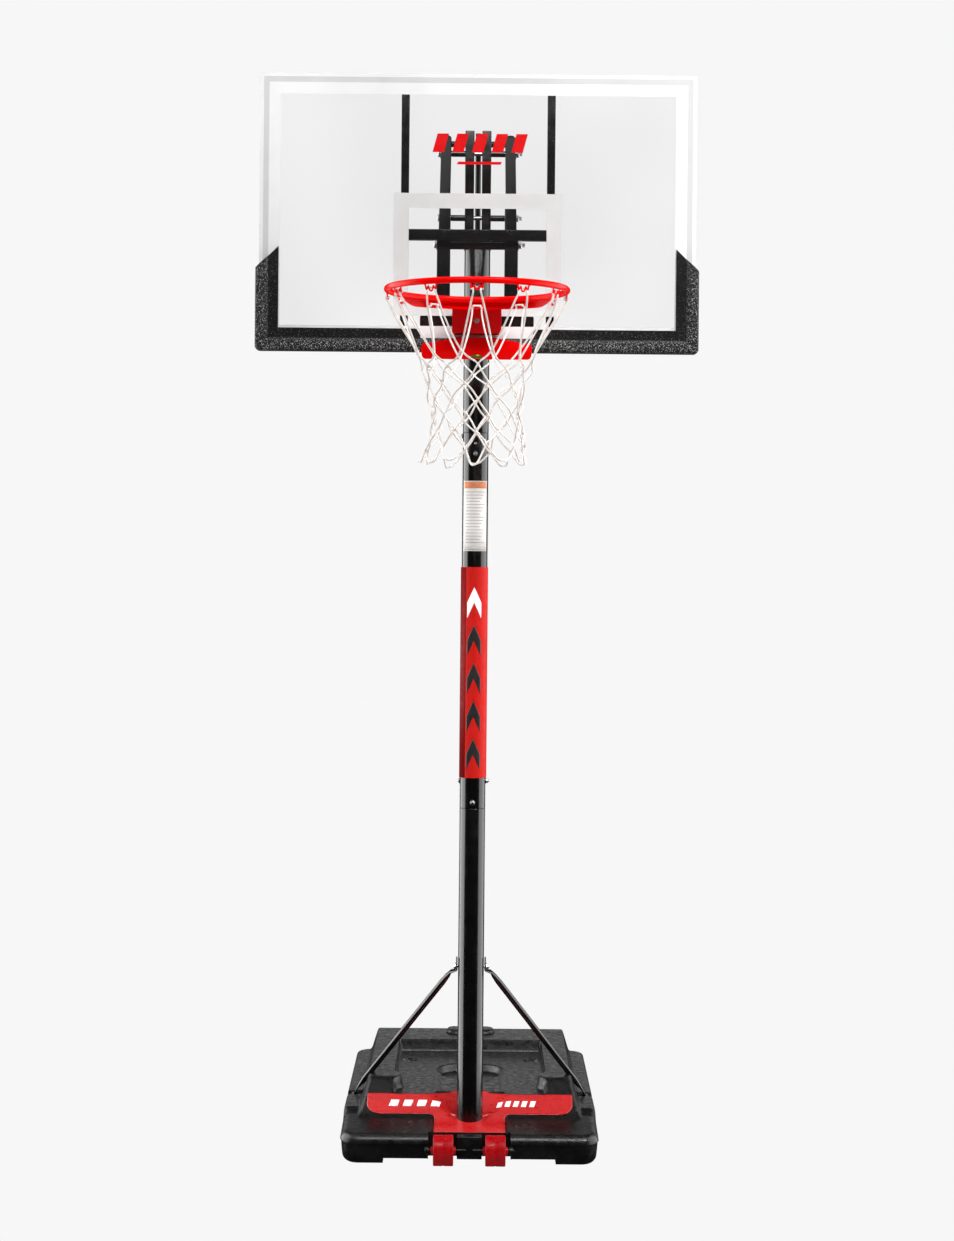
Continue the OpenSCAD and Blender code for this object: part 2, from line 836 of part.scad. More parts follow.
// ---------- Rim ----------
module rim_mount() {
    color([0.75, 0.02, 0.02]) place() difference() {
        union() {
            box([-mount_half, face_y - mount_t, mount_low], [mount_half, face_y, mount_high]);
            for (s = [-1, 1]) {
                along_x(s * mount_ear_x - 2, s * mount_ear_x + 2) polygon([
                    [face_y - 5, mount_low + 2], [pin_y - 8, mount_low + 2],
                    [pin_y - 8, pin_z + 8], [face_y - 5, pin_z + 18]
                ]);
            }
        }
        rod_x(-80, 80, pin_y, pin_z, pin_r);
        mount_bolt_holes(face_y - 7, face_y + 1);
    }
}

module rim_mount_bolts() {
    color([0.75, 0.75, 0.77]) place() {
        mount_bolt_holes(face_y - mount_t, frame_y + 16);
        for (x = mount_bolt_x, z = mount_bolt_z) {
            rod_y(face_y - mount_t - 3, face_y - mount_t, x, z, 7);
            rod_y(frame_y + mount_t, frame_y + 2 * mount_t, x, z, 7);
        }
    }
}

module rim_pivot_pin() {
    color([0.75, 0.75, 0.77]) place() rod_x(-bracket_half - 3, bracket_half + 3, pin_y, pin_z, pin_r);
}

// Two torsion springs wound round the pivot pin
module rim_springs() {
    color([0.4, 0.4, 0.42]) place() for (s = [-1, 1]) {
        difference() {
            rod_x(s * 28 - 18, s * 28 + 18, pin_y, pin_z, pin_r + 3.5);
            rod_x(s * 28 - 19, s * 28 + 19, pin_y, pin_z, pin_r + 0.5);
        }
    }
}

module rim_bracket() {
    slope_in = 10;
    color([0.85, 0.02, 0.02]) place() difference() {
        along_x(-bracket_half, bracket_half) polygon([
            [bracket_back, bracket_low], [bracket_front + slope_in, bracket_low],
            [bracket_front, bracket_low + 30], [bracket_front, bracket_high], [bracket_back, bracket_high]
        ]);
        along_x(-bracket_half + bracket_wall, bracket_half - bracket_wall) polygon([
            [bracket_back + 1, bracket_low - 1], [bracket_front + slope_in + bracket_wall, bracket_low - 1],
            [bracket_front + bracket_wall, bracket_low + 30],
            [bracket_front + bracket_wall, bracket_high - bracket_wall],
            [bracket_back + 1, bracket_high - bracket_wall]
        ]);
        rod_x(-80, 80, pin_y, pin_z, pin_r + run_fit);
        rod_y(bracket_front - 1, bracket_front + 8, 0, bracket_bolt_z, 4);
    }
}

module rim_bracket_bolt() {
    color([0.75, 0.75, 0.77]) place() {
        rod_y(bracket_front, bracket_front + 22, 0, bracket_bolt_z, 4);
        rod_y(bracket_front - 4, bracket_front, 0, bracket_bolt_z, 7);
    }
}

// A flat crescent welded under the back of the ring, running back onto the bracket
module rim_gusset() {
    reach = 200;
    color([0.85, 0.02, 0.02]) place() translate([0, 0, bracket_high]) linear_extrude(gusset_t) difference() {
        polygon([
            [-reach, rim_y + 110], [reach, rim_y + 110], [reach, rim_y + 134],
            [bracket_half, bracket_front + 6], [bracket_half, bracket_back],
            [-bracket_half, bracket_back], [-bracket_half, bracket_front + 6], [-reach, rim_y + 134]
        ]);
        translate([0, rim_y]) circle(rim_r + 4);
    }
}

module rim_ring() {
    color([0.9, 0.02, 0.02]) place() translate([0, rim_y, rim_z]) {
        rotate_extrude() translate([rim_r, 0]) circle(rim_rod_r);
    }
}

module net_hooks() {
    color([0.85, 0.02, 0.02]) place() translate([0, rim_y, rim_z - rim_rod_r]) {
        for (i = [0 : hook_count - 1]) {
            rotate([0, 0, i * 360 / hook_count]) for (side = [-1, 1]) {
                translate([side * hook_r, -rim_r, 1]) rotate([-90, 0, 0]) {
                    rotate_extrude(angle = 180) translate([hook_r, 0]) circle(hook_wire_r);
                }
            }
        }
    }
}

// The net's outer shape: a thin open funnel with a waist
module net() {
    t = 1.5;
    top = rim_z - rim_rod_r - hook_r - 12;
    low = rim_height - 15 - net_length;
    shape = concat([[218, top]], net_waist, [[142, low]]);
    last = len(shape) - 1;
    color([0.95, 0.95, 0.93]) place() translate([0, rim_y, 0]) rotate_extrude() polygon(concat(
        shape, [for (i = [last : -1 : 0]) [shape[i][0] - t, shape[i][1]]]
    ));
}

// A folded plate under the rim that carries a round spirit level
module level_plate() {
    color([0.85, 0.02, 0.02]) place() difference() {
        intersection() {
            along_x(-plate_half, plate_half) polygon([
                [face_y - 16, plate_high], [face_y - 26, plate_high], [face_y - 30, plate_low + 22],
                [face_y - 22, plate_low], [face_y - 16, plate_low]
            ]);
            along_y(face_y - 40, face_y) polygon([
                [-plate_half + 8, plate_low], [plate_half - 8, plate_low], [plate_half, plate_low + 8],
                [plate_half, plate_high - 20], [plate_half - 8, plate_high - 18], [60, plate_high],
                [-60, plate_high], [-plate_half + 8, plate_high - 18], [-plate_half, plate_high - 20],
                [-plate_half, plate_low + 8]
            ]);
        }
        rod_y(face_y - 60, face_y - 20, 0, plate_low + 8, 11);
    }
}

module level_vial() {
    color([0.55, 0.6, 0.1]) place() intersection() {
        rod_y(face_y - 28, face_y - 20, 0, plate_low + 8, 11);
        box([-20, face_y - 60, plate_low], [20, face_y, plate_low + 30]);
    }
}

base_tank();
ballast();
fill_cap();
base_decal();
wheel_axles();
wheel_left();
wheel_right();
pole_lower();
pole_middle();
pole_upper();
pole_bolts();
pole_sleeve();
pole_label();
strut_left();
strut_right();
strut_bolt();
strut_foot_bolts();
pole_head();
pole_pivot_bolts();
pole_pivot_spacers();
lower_arm_left();
lower_arm_right();
upper_arm_left();
upper_arm_right();
arm_tie();
arm_caps();
adjuster_guide();
adjuster_rod();
lock_lever();
board_panel();
board_print();
frame_top();
frame_bottom();
frame_left();
frame_right();
frame_upright_left();
frame_upright_right();
frame_cross_bar();
back_plate();
channel_left();
channel_right();
board_pivot_bolts();
board_pivot_tubes();
edge_pad_bottom();
edge_pad_left();
edge_pad_right();
rim_mount();
rim_mount_bolts();
rim_pivot_pin();
rim_springs();
level_plate();
level_vial();
rim_bracket();
rim_bracket_bolt();
rim_gusset();
rim_ring();
net_hooks();
net();
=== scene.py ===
"""Portable basketball hoop: the detailed pieces, materials, studio and camera round the CAD frame."""
import math
import random

import bmesh
import bpy
import numpy as np
from mathutils import Matrix, Vector


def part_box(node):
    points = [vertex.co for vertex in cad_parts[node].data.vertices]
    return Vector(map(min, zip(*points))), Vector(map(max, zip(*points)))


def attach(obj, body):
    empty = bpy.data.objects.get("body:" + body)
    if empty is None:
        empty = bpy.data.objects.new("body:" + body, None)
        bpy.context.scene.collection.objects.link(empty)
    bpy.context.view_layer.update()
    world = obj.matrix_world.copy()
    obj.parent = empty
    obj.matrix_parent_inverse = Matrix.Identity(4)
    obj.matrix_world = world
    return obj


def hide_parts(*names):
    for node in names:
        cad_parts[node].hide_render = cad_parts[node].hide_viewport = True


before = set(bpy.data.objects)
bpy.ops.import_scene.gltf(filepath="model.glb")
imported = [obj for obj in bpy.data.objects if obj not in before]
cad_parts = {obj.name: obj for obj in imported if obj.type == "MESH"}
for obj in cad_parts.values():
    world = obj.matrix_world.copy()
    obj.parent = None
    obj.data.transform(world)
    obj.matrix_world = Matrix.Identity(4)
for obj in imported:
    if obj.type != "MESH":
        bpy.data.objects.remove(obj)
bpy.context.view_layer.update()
SCENE = bpy.context.scene

# ---------- Places taken from the frame, in metres ----------
POLE_LOW, POLE_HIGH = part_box("pole_lower")
POLE_Y = (POLE_LOW.y + POLE_HIGH.y) / 2
POLE_R = (POLE_HIGH.x - POLE_LOW.x) / 2
PANEL_LOW, PANEL_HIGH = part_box("board_panel")
RING_LOW, RING_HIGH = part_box("rim_ring")
ROD_R = (RING_HIGH.z - RING_LOW.z) / 2
RING_R = (RING_HIGH.x - RING_LOW.x) / 2 - ROD_R
RING = (RING_LOW + RING_HIGH) / 2
TANK_LOW, TANK_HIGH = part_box("base_tank")

# ---------- Camera ----------
IMAGE_H = 1241
SENSOR_MM = 36
FOCAL_PX = 2456
HORIZON_ABOVE_MIDDLE_PX = 56.5
LEFTWARD_PX = 2.4
CAMERA_HEIGHT = 1.734
CAMERA_TO_POLE = 7.260
CAMERA_ROLL = math.radians(-0.52)
FARTHEST_SEEN = 60


def make_camera():
    data = bpy.data.cameras.new("camera")
    camera = bpy.data.objects.new("camera", data)
    SCENE.collection.objects.link(camera)
    SCENE.camera = camera
    data.sensor_width = SENSOR_MM
    data.lens = SENSOR_MM * FOCAL_PX / IMAGE_H
    data.shift_y = -HORIZON_ABOVE_MIDDLE_PX / IMAGE_H
    data.shift_x = LEFTWARD_PX / IMAGE_H
    data.clip_end = FARTHEST_SEEN
    camera.location = (0.0, POLE_Y - CAMERA_TO_POLE, CAMERA_HEIGHT)
    camera.rotation_euler = (math.pi / 2, CAMERA_ROLL, 0)


make_camera()


# ---------- Materials ----------
class Shader:
    """A node material under construction: a Principled shader and short ways to feed it."""

    def __init__(self, name, colour, roughness, metallic=0.0):
        self.material = bpy.data.materials.new(name)
        self.material.use_nodes = True
        self.tree = self.material.node_tree
        self.bsdf = self.tree.nodes["Principled BSDF"]
        self.colour = (*colour, 1)
        self.roughness = roughness
        self.set("Base Color", self.colour)
        self.set("Roughness", roughness)
        self.set("Metallic", metallic)
        self.coords = self.tree.nodes.new("ShaderNodeTexCoord")
        self.normal = None

    def set(self, socket, value):
        self.bsdf.inputs[socket].default_value = value

    def link(self, source, target):
        self.tree.links.new(source, target)

    def noise(self, scale, detail=3.0, stretch=(1, 1, 1)):
        mapping = self.tree.nodes.new("ShaderNodeMapping")
        mapping.inputs["Scale"].default_value = stretch
        node = self.tree.nodes.new("ShaderNodeTexNoise")
        node.inputs["Scale"].default_value = scale
        node.inputs["Detail"].default_value = detail
        self.link(self.coords.outputs["Object"], mapping.inputs["Vector"])
        self.link(mapping.outputs["Vector"], node.inputs["Vector"])
        return node.outputs["Fac"]

    def cells(self, scale):
        """Rounded pebbles, without the sharp pits of plain cells."""
        node = self.tree.nodes.new("ShaderNodeTexVoronoi")
        node.feature = "SMOOTH_F1"
        node.inputs["Scale"].default_value = scale
        self.link(self.coords.outputs["Object"], node.inputs["Vector"])
        return node.outputs["Distance"]

    def spread(self, source, low, high, from_low=0.3, from_high=0.7):
        node = self.tree.nodes.new("ShaderNodeMapRange")
        for name, value in (
            ("From Min", from_low), ("From Max", from_high), ("To Min", low), ("To Max", high)
        ):
            node.inputs[name].default_value = value
        self.link(source, node.inputs["Value"])
        return node.outputs["Result"]

    def blend_colour(self, factor, other):
        """Feeds the colour from a mix between the shader's own colour and another."""
        node = self.tree.nodes.new("ShaderNodeMix")
        node.data_type = "RGBA"
        self.link(factor, node.inputs["Factor"])
        for name, value in (("A", self.colour), ("B", (*other, 1))):
            socket = [s for s in node.inputs if s.name == name and s.type == "RGBA"][0]
            socket.default_value = value
        output = [s for s in node.outputs if s.type == "RGBA"][0]
        self.link(output, self.bsdf.inputs["Base Color"])

    def vary_colour(self, scale, other, low=0.35, high=0.65):
        self.blend_colour(self.spread(self.noise(scale), 0, 1, low, high), other)

    def vary_roughness(self, scale, amount):
        low, high = max(self.roughness - amount, 0.02), min(self.roughness + amount, 1)
        self.link(self.spread(self.noise(scale), low, high), self.bsdf.inputs["Roughness"])

    def bump(self, height, distance, strength=1.0):
        node = self.tree.nodes.new("ShaderNodeBump")
        node.inputs["Strength"].default_value = strength
        node.inputs["Distance"].default_value = distance
        self.link(height, node.inputs["Height"])
        if self.normal is not None:
            self.link(self.normal, node.inputs["Normal"])
        self.normal = node.outputs["Normal"]
        self.link(self.normal, self.bsdf.inputs["Normal"])


def grey(level):
    return (level, level, level)


def enamel(name, colour, darker, roughness, coat, peel=0.0001, shine=0.4):
    """Sprayed paint: slight colour drift, orange peel and a clear coat."""
    paint = Shader(name, colour, roughness)
    paint.set("Specular IOR Level", shine)
    paint.vary_colour(scale=9, other=darker)
    paint.vary_roughness(scale=35, amount=0.06)
    paint.set("Coat Weight", coat)
    paint.set("Coat Roughness", 0.12)
    paint.bump(paint.noise(scale=90, detail=2), distance=peel, strength=0.25)
    return paint.material


def moulded(name, colour, lighter, roughness, grain, depth, shine=0.35):
    """Moulded plastic with a pebbled skin and a dusty bloom in places."""
    skin = Shader(name, colour, roughness)
    skin.set("Specular IOR Level", shine)
    skin.vary_colour(scale=14, other=lighter, low=0.42, high=0.78)
    skin.vary_roughness(scale=60, amount=0.12)
    skin.bump(skin.cells(grain), distance=depth, strength=0.8)
    skin.bump(skin.noise(scale=grain * 1.7, detail=4), distance=depth * 0.6, strength=0.5)
    return skin.material


def plated(name, colour, roughness):
    """Zinc plated steel with fine scratches."""
    steel = Shader(name, colour, roughness, metallic=1.0)
    steel.vary_colour(scale=120, other=tuple(0.72 * level for level in colour))
    steel.vary_roughness(scale=300, amount=0.1)
    scratches = steel.noise(scale=900, detail=2, stretch=(1, 1, 0.1))
    steel.bump(scratches, distance=0.0001, strength=0.4)
    return steel.material


def make_acrylic():
    """Clear sheet: mostly see-through, with a faint milky tone and a polished surface."""
    sheet = Shader("acrylic", grey(0.05), roughness=0.04)
    sheet.vary_roughness(scale=3, amount=0.02)
    milk = sheet.noise(scale=1.3, detail=1)
    sheet.link(sheet.spread(milk, 0.015, 0.07, 0.4, 0.6), sheet.bsdf.inputs["Alpha"])
    sheet.set("Specular IOR Level", 0.35)
    sheet.bump(sheet.noise(scale=2.0, detail=1), distance=0.0004, strength=0.1)
    return sheet.material


def make_speckled_pad(name, black, speck, low, high):
    """Black moulded pad whose pale specks in its colour are painted glints on its textured skin; low and
    high set how many there are.
    """
    skin = Shader(name, black, roughness=0.55)
    skin.set("Specular IOR Level", 0.2)
    specks = skin.spread(skin.noise(scale=460, detail=2), 0, 1, low, high)
    skin.blend_colour(specks, speck)
    skin.vary_roughness(scale=240, amount=0.15)
    skin.bump(skin.noise(scale=700, detail=3), distance=0.00006, strength=0.6)
    return skin.material


def make_cord():
    """Braided nylon cord, off-white with a fine twist."""
    cord = Shader("net_cord", (0.72, 0.67, 0.64), roughness=0.75)
    cord.vary_colour(scale=60, other=(0.60, 0.55, 0.52))
    cord.vary_roughness(scale=200, amount=0.1)
    cord.set("Sheen Weight", 0.15)
    twist = cord.noise(scale=700, detail=2, stretch=(1, 1, 0.25))
    cord.bump(twist, distance=0.0006, strength=0.8)
    return cord.material


# Paints: colour, darker drift, roughness, coat, orange peel, shine
ENAMELS = {
    "pole_black": (grey(0.0008), grey(0.0015), 0.21, 0.4, 0.00001),
    "frame_black": (grey(0.003), grey(0.005), 0.22, 0.05, 0.00003, 0.25),
    "frame_white": (grey(0.82), grey(0.74), 0.4, 0.2),
    "rim_red": ((0.80, 0.001, 0.001), (0.74, 0.001, 0.001), 0.17, 0.0, 0.00001, 0.08),
    "bracket_red": ((0.56, 0.004, 0.006), (0.50, 0.003, 0.005), 0.45, 0.0, 0.00003, 0.08),
}
# Plastics and prints: colour, lighter or darker drift, roughness, pebbles a metre, their depth, shine
PLASTICS = {
    "base_black": (grey(0.002), (0.006, 0.006, 0.0057), 0.35, 420, 0.00016, 0.42),
    "cap_black": (grey(0.010), grey(0.020), 0.5, 700, 0.0005),
    "wheel_red": ((0.29, 0.001, 0.003), (0.32, 0.001, 0.004), 0.36, 500, 0.00005, 0.12),
    "lever_red": ((0.55, 0.006, 0.008), (0.62, 0.012, 0.014), 0.38, 600, 0.0003),
    "sleeve_red": ((0.46, 0.008, 0.005), (0.43, 0.007, 0.004), 0.55, 900, 0.0001, 0.12),
    # Darker red for the strip on the sleeve's left side: painted shade for the side turned away from the
    # brighter right-hand light
    "sleeve_shade_red": ((0.17, 0.001, 0.001), (0.155, 0.001, 0.001), 0.55, 900, 0.0001, 0.08),
    "decal_red": ((0.44, 0.005, 0.006), (0.40, 0.004, 0.005), 0.36, 300, 0.00003, 0.7),
    "print_white": (grey(0.88), grey(0.84), 0.45, 900, 0.0001),
    "print_grey": (grey(0.66), grey(0.62), 0.45, 900, 0.0001),
    "print_frost": (grey(0.74), grey(0.70), 0.5, 900, 0.0001),
    "print_black": (grey(0.012), grey(0.020), 0.4, 900, 0.0001),
    "print_red": ((0.62, 0.003, 0.005), (0.58, 0.003, 0.004), 0.4, 900, 0.0001, 0.15),
    "label_white": ((0.80, 0.76, 0.73), (0.76, 0.72, 0.69), 0.5, 800, 0.0001),
    "label_orange": ((0.72, 0.25, 0.11), (0.66, 0.23, 0.10), 0.5, 800, 0.0001),
    "label_grey": ((0.42, 0.41, 0.40), (0.36, 0.35, 0.34), 0.5, 800, 0.0001),
    "vial": ((0.10, 0.11, 0.02), (0.16, 0.17, 0.03), 0.12, 500, 0.0001),
    "vial_bright": ((0.60, 0.66, 0.05), (0.66, 0.70, 0.10), 0.1, 500, 0.0001),
    "water": ((0.30, 0.42, 0.50), (0.34, 0.46, 0.54), 0.1, 60, 0.001),
}
LOOKS = {
    "zinc": plated("zinc", (0.62, 0.62, 0.64), 0.32),
    "spring_steel": plated("spring_steel", (0.30, 0.30, 0.32), 0.38),
    "clear": make_acrylic(),
    "pad_black": make_speckled_pad("pad_black", grey(0.001), grey(0.20), 0.64, 0.74),
    # The raised outer band: more and paler specks; the band's texture is real, its extra paleness is a
    # painted reflection of the side lights
    "pad_grain_and_glints": make_speckled_pad("pad_grain_and_glints", grey(0.004), grey(0.60), 0.57, 0.74),
    "net_white": make_cord(),
    **{name: enamel(name, *values) for name, values in ENAMELS.items()},
    **{name: moulded(name, *values) for name, values in PLASTICS.items()},
}


# ---------- Mesh helpers; shapes are drawn in metres from the pole's axis at floor level ----------
# Lengths under this count as none, and faces with more corners than this are cut into triangles
TINY = 1e-6
MOST_CORNERS = 6
SIDES = ((-1, "left"), (1, "right"))
AXIS_TURNS = {
    "z": Matrix.Identity(3),
    "x": Matrix(((0, 0, 1), (1, 0, 0), (0, 1, 0))),
    "y": Matrix(((1, 0, 0), (0, 0, 1), (0, -1, 0))),
}
CHAMFER = 0.82
WASHER_THICK = 0.0016
THREAD_PITCH, THREAD_ROOT = 0.0018, 0.86
# Sizes of a bolt's head, nut and washers as shares of the head's radius
HEAD_HIGH, NUT_WIDE, NUT_HIGH, WASHER_WIDE = 0.62, 0.96, 0.85, 1.35


def piece(name, bm, look, body, nodes=(), smooth=35):
    """Turns a bmesh drawn from the pole's axis into a piece that rides on a body and stands for nodes."""
    bmesh.ops.recalc_face_normals(bm, faces=bm.faces)
    mesh = bpy.data.meshes.new(name)
    bm.to_mesh(mesh)
    bm.free()
    mesh.transform(Matrix.Translation((0, POLE_Y, 0)))
    mesh.materials.append(LOOKS[look])
    for face in mesh.polygons:
        face.use_smooth = True
    mesh.set_sharp_from_angle(angle=math.radians(smooth))
    obj = bpy.data.objects.new(name, mesh)
    SCENE.collection.objects.link(obj)
    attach(obj, body)
    if nodes:
        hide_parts(*nodes)
    return obj


def merge(bm, other, place=Matrix.Identity(4)):
    """Adds another bmesh, moved by a matrix, and frees it."""
    other.transform(place)
    mesh = bpy.data.meshes.new("part")
    other.to_mesh(mesh)
    other.free()
    bm.from_mesh(mesh)
    bpy.data.meshes.remove(mesh)


def soften(bm, edges, width, segments):
    bmesh.ops.bevel(bm, geom=list(edges), offset=width, segments=segments, affect="EDGES", profile=0.5)


def add_box(bm, low, high, bevel=0.0, segments=3):
    size = Vector(high) - Vector(low)
    place = Matrix.Translation((Vector(low) + Vector(high)) / 2) @ Matrix.Diagonal((*size, 1))
    made = bmesh.ops.create_cube(bm, size=1, matrix=place)["verts"]
    if bevel:
        soften(bm, {edge for vert in made for edge in vert.link_edges}, bevel, segments)


def add_side_box(bm, side, inner, outer, low, high, bevel):
    """A box at one side of the middle plane; low and high are its (y, z) corners."""
    left, right = sorted((side * inner, side * outer))
    add_box(bm, (left, *low), (right, *high), bevel)


def add_prism(bm, outline, axis, start, end, bevel=0.0, segments=3):
    """A closed outline pushed along an axis; outline points are on the other two axes in order."""
    def at(point, depth):
        out = list(point)
        out.insert("xyz".index(axis), depth)
        return out

    lower = [bm.verts.new(at(point, start)) for point in outline]
    upper = [bm.verts.new(at(point, end)) for point in outline]
    faces = [bm.faces.new(lower), bm.faces.new(list(reversed(upper)))]
    count = len(outline)
    for i in range(count):
        j = (i + 1) % count
        faces.append(bm.faces.new((lower[i], upper[i], upper[j], lower[j])))
    if bevel:
        soften(bm, {edge for face in faces for edge in face.edges}, bevel, segments)
    caps = [face for face in bm.faces if len(face.verts) > MOST_CORNERS]
    bmesh.ops.triangulate(bm, faces=caps)


def neighbours(rings, closed):
    """Pairs of rings that follow each other; when closed, the last is paired with the first."""
    pairs = list(zip(rings, rings[1:]))
    if closed:
        pairs.append((rings[-1], rings[0]))
    return pairs


def bridge(bm, rings, closed=False):
    """Four-sided faces between rings of equal size that follow each other."""
    for lower, upper in neighbours(rings, closed):
        for i in range(len(lower)):
            j = (i + 1) % len(lower)
            bm.faces.new((lower[i], lower[j], upper[j], upper[i]))


def cap_ends(bm, rings):
    bm.faces.new(list(reversed(rings[0])))
    bm.faces.new(rings[-1])


def bridge_rows(bm, grid):
    """Four-sided faces between open rows of vertices."""
    for lower, upper in zip(grid, grid[1:]):
        for i in range(len(lower) - 1):
            bm.faces.new((lower[i], lower[i + 1], upper[i + 1], upper[i]))


def loft(bm, stations):
    """Joins closed rings of points into a solid with flat ends."""
    rings = [[bm.verts.new(point) for point in ring] for ring in stations]
    bridge(bm, rings)
    cap_ends(bm, rings)


def circle(sides):
    """(cosine, sine) of evenly spaced angles."""
    angles = [2 * math.pi * i / sides for i in range(sides)]
    return [(math.cos(angle), math.sin(angle)) for angle in angles]


def add_lathe(bm, profile, axis="z", at=(0, 0, 0), sides=64, closed=False):
    """Turns (radius, height) points round an axis through a point."""
    rings = []
    for radius, height in profile:
        spots = [(radius * cos, radius * sin, height) for cos, sin in circle(sides)]
        if radius < TINY:
            spots = [(0, 0, height)]
        rings.append([bm.verts.new(Vector(at) + AXIS_TURNS[axis] @ Vector(spot)) for spot in spots])
    for lower, upper in neighbours(rings, closed):
        for i in range(sides):
            below = [lower[k % len(lower)] for k in (i, (i + 1) % sides)]
            above = [upper[k % len(upper)] for k in ((i + 1) % sides, i)]
            corners = list(dict.fromkeys(below + above))
            if len(corners) > 2:
                bm.faces.new(corners)


def add_tube(bm, points, radius, sides=8, flat=None, closed=False, first_side=None):
    """A tube along points; flat gives each ring's (width, thickness) as shares of the radius."""
    count = len(points)
    rings = []
    side = first_side
    for i, point in enumerate(points):
        before = points[(i - 1) % count] if closed or i else point
        after = points[(i + 1) % count] if closed or i < count - 1 else point
        way = (after - before).normalized()
        if side is None:
            side = way.orthogonal().normalized()
        side = (side - way * side.dot(way)).normalized()
        up = way.cross(side)
        wide, thin = flat[i] if flat else (1, 1)
        rings.append([
            bm.verts.new(point + side * (radius * wide * cos) + up * (radius * thin * sin))
            for cos, sin in circle(sides)
        ])
    bridge(bm, rings, closed)
    if not closed:
        cap_ends(bm, rings)


def rounded_outline(width, height, radius, steps=6, centre=(0, 0)):
    """A rectangle with rounded corners as (x, z) points."""
    points = []
    for k, (sx, sz) in enumerate(((1, 1), (-1, 1), (-1, -1), (1, -1))):
        for i in range(steps + 1):
            angle = math.pi / 2 * (k + i / steps)
            points.append((
                centre[0] + sx * (width / 2 - radius) + radius * math.cos(angle),
                centre[1] + sz * (height / 2 - radius) + radius * math.sin(angle),
            ))
    return points


def add_hex(bm, at, axis, side, radius, height, washer=0.0):
    """A chamfered hexagon head or nut, standing on a washer, that points along side * axis."""
    along = "xyz".index(axis)
    first, second = (along + 1) % 3, (along + 2) % 3
    lift = 0
    if washer:
        lift = WASHER_THICK
        disc = [(0, 0), (washer, 0), (washer, side * lift), (0, side * lift)]
        add_lathe(bm, disc, axis, at, 32)
    rings = []
    for level, reach in ((0.0, radius), (height * CHAMFER, radius), (height, radius * CHAMFER)):
        ring = []
        for cos, sin in circle(6):
            point = [0, 0, 0]
            point[along] = side * (level + lift)
            point[first] = reach * cos
            point[second] = reach * sin
            ring.append(bm.verts.new(Vector(at) + Vector(point)))
        rings.append(ring)
    bridge(bm, rings)
    bm.faces.new(rings[0])
    bm.faces.new(rings[-1])


def threaded(bm, at, axis, start, end, radius):
    """A bolt's shank with ridges standing for its thread."""
    count = max(int(abs(end - start) / THREAD_PITCH), 1)
    step = (end - start) / count
    root = radius * THREAD_ROOT
    profile = [(0, start)]
    for i in range(count):
        profile.append((root, start + step * i))
        profile.append((radius, start + step * (i + 0.5)))
    profile += [(root, end), (0, end)]
    add_lathe(bm, profile, axis, at, 20)


def bolt_across(bm, y, z, reach, radius, head, tail=0.020):
    """A bolt along X with its head at the left, and a nut with showing threads at the right."""
    washer = head * WASHER_WIDE
    add_lathe(bm, [(0, -reach), (radius, -reach), (radius, reach), (0, reach)], "x", (0, y, z), 24)
    add_hex(bm, (-reach, y, z), "x", -1, head, head * HEAD_HIGH, washer)
    add_hex(bm, (reach, y, z), "x", 1, head * NUT_WIDE, head * NUT_HIGH, washer)
    threaded(bm, (0, y, z), "x", reach, reach + tail, radius)


def rod(bm, axis, at, start, end, radius, sides=32, edge=0.0008):
    """A round bar with softened ends."""
    way = 1 if end > start else -1
    add_lathe(bm, [
        (0, start), (radius - edge, start), (radius, start + way * edge),
        (radius, end - way * edge), (radius - edge, end), (0, end),
    ], axis, at, sides)


def thicken(obj, thickness):
    solid = obj.modifiers.new("thickness", "SOLIDIFY")
    solid.thickness = thickness
    solid.offset = -1


def smooth_step(value):
    value = np.clip(value, 0, 1)
    return value * value * (3 - 2 * value)


def smooth_min(first, second, blend):
    share = np.clip(0.5 + 0.5 * (second - first) / blend, 0, 1)
    return second * (1 - share) + first * share - blend * share * (1 - share)


def smooth_max(first, second, blend):
    return -smooth_min(-first, -second, blend)


# ---------- Base ----------
BASE_HALF = (TANK_HIGH.x - TANK_LOW.x) / 2
BASE_FRONT, BASE_BACK = -0.190, 0.940
BASE_MIDDLE = (BASE_FRONT + BASE_BACK) / 2
BASE_CORNER = 0.055
SHOULDER_DROP = 0.016
LEDGE, SHOULDER, SHELF = 0.115, 0.102, 0.087
TRAY, DECK = 0.150, 0.187
DECK_BACK, BACK_STEEPNESS = 0.925, 3.0
SLOPE_LOW_Y, SLOPE_HIGH_Y = -0.038, 0.075
RISE = (TRAY - SHELF) / (SLOPE_HIGH_Y - SLOPE_LOW_Y)
DECK_HALF_LOW, DECK_HALF_TOP = 0.332, 0.306
TROUGH_DEEP = 0.018
TONGUE = 0.104
# The tray, its two round lobes, its round basin, oblong inset, two holes and raised rib
TRAY_HALF, TRAY_FRONT, TRAY_BACK = 0.232, -0.09, 0.735
LOBE_X, LOBE_Y, LOBE_R = 0.262, 0.185, 0.052
BASIN_Y, BASIN_R, BASIN_DEEP = 0.430, 0.105, 0.022
INSET_HALF, INSET_FRONT, INSET_BACK, INSET_DEEP = 0.093, 0.110, 0.400, 0.008
HOLE_X, HOLE_Y, HOLE_R, HOLE_DEEP = 0.195, 0.583, 0.025, 0.018
RIB_X, RIB_FRONT, RIB_BACK, RIB_HALF, RIB_HIGH = 0.099, 0.104, 0.34, 0.005, 0.004
# The boss round the fill cap
FILL_Y, BOSS_R, BOSS_HIGH = 0.865, 0.032, 0.012
# The recess for the wheels, the wheels and the feet
WELL_HALF, WELL_BACK = 0.119, -0.150
WHEEL_X, AXLE_Y, AXLE_Z = 0.075, -0.198, 0.047
FOOT_IN, FOOT_LIFT, FOOT_ROUND = 0.250, 0.020, 0.028
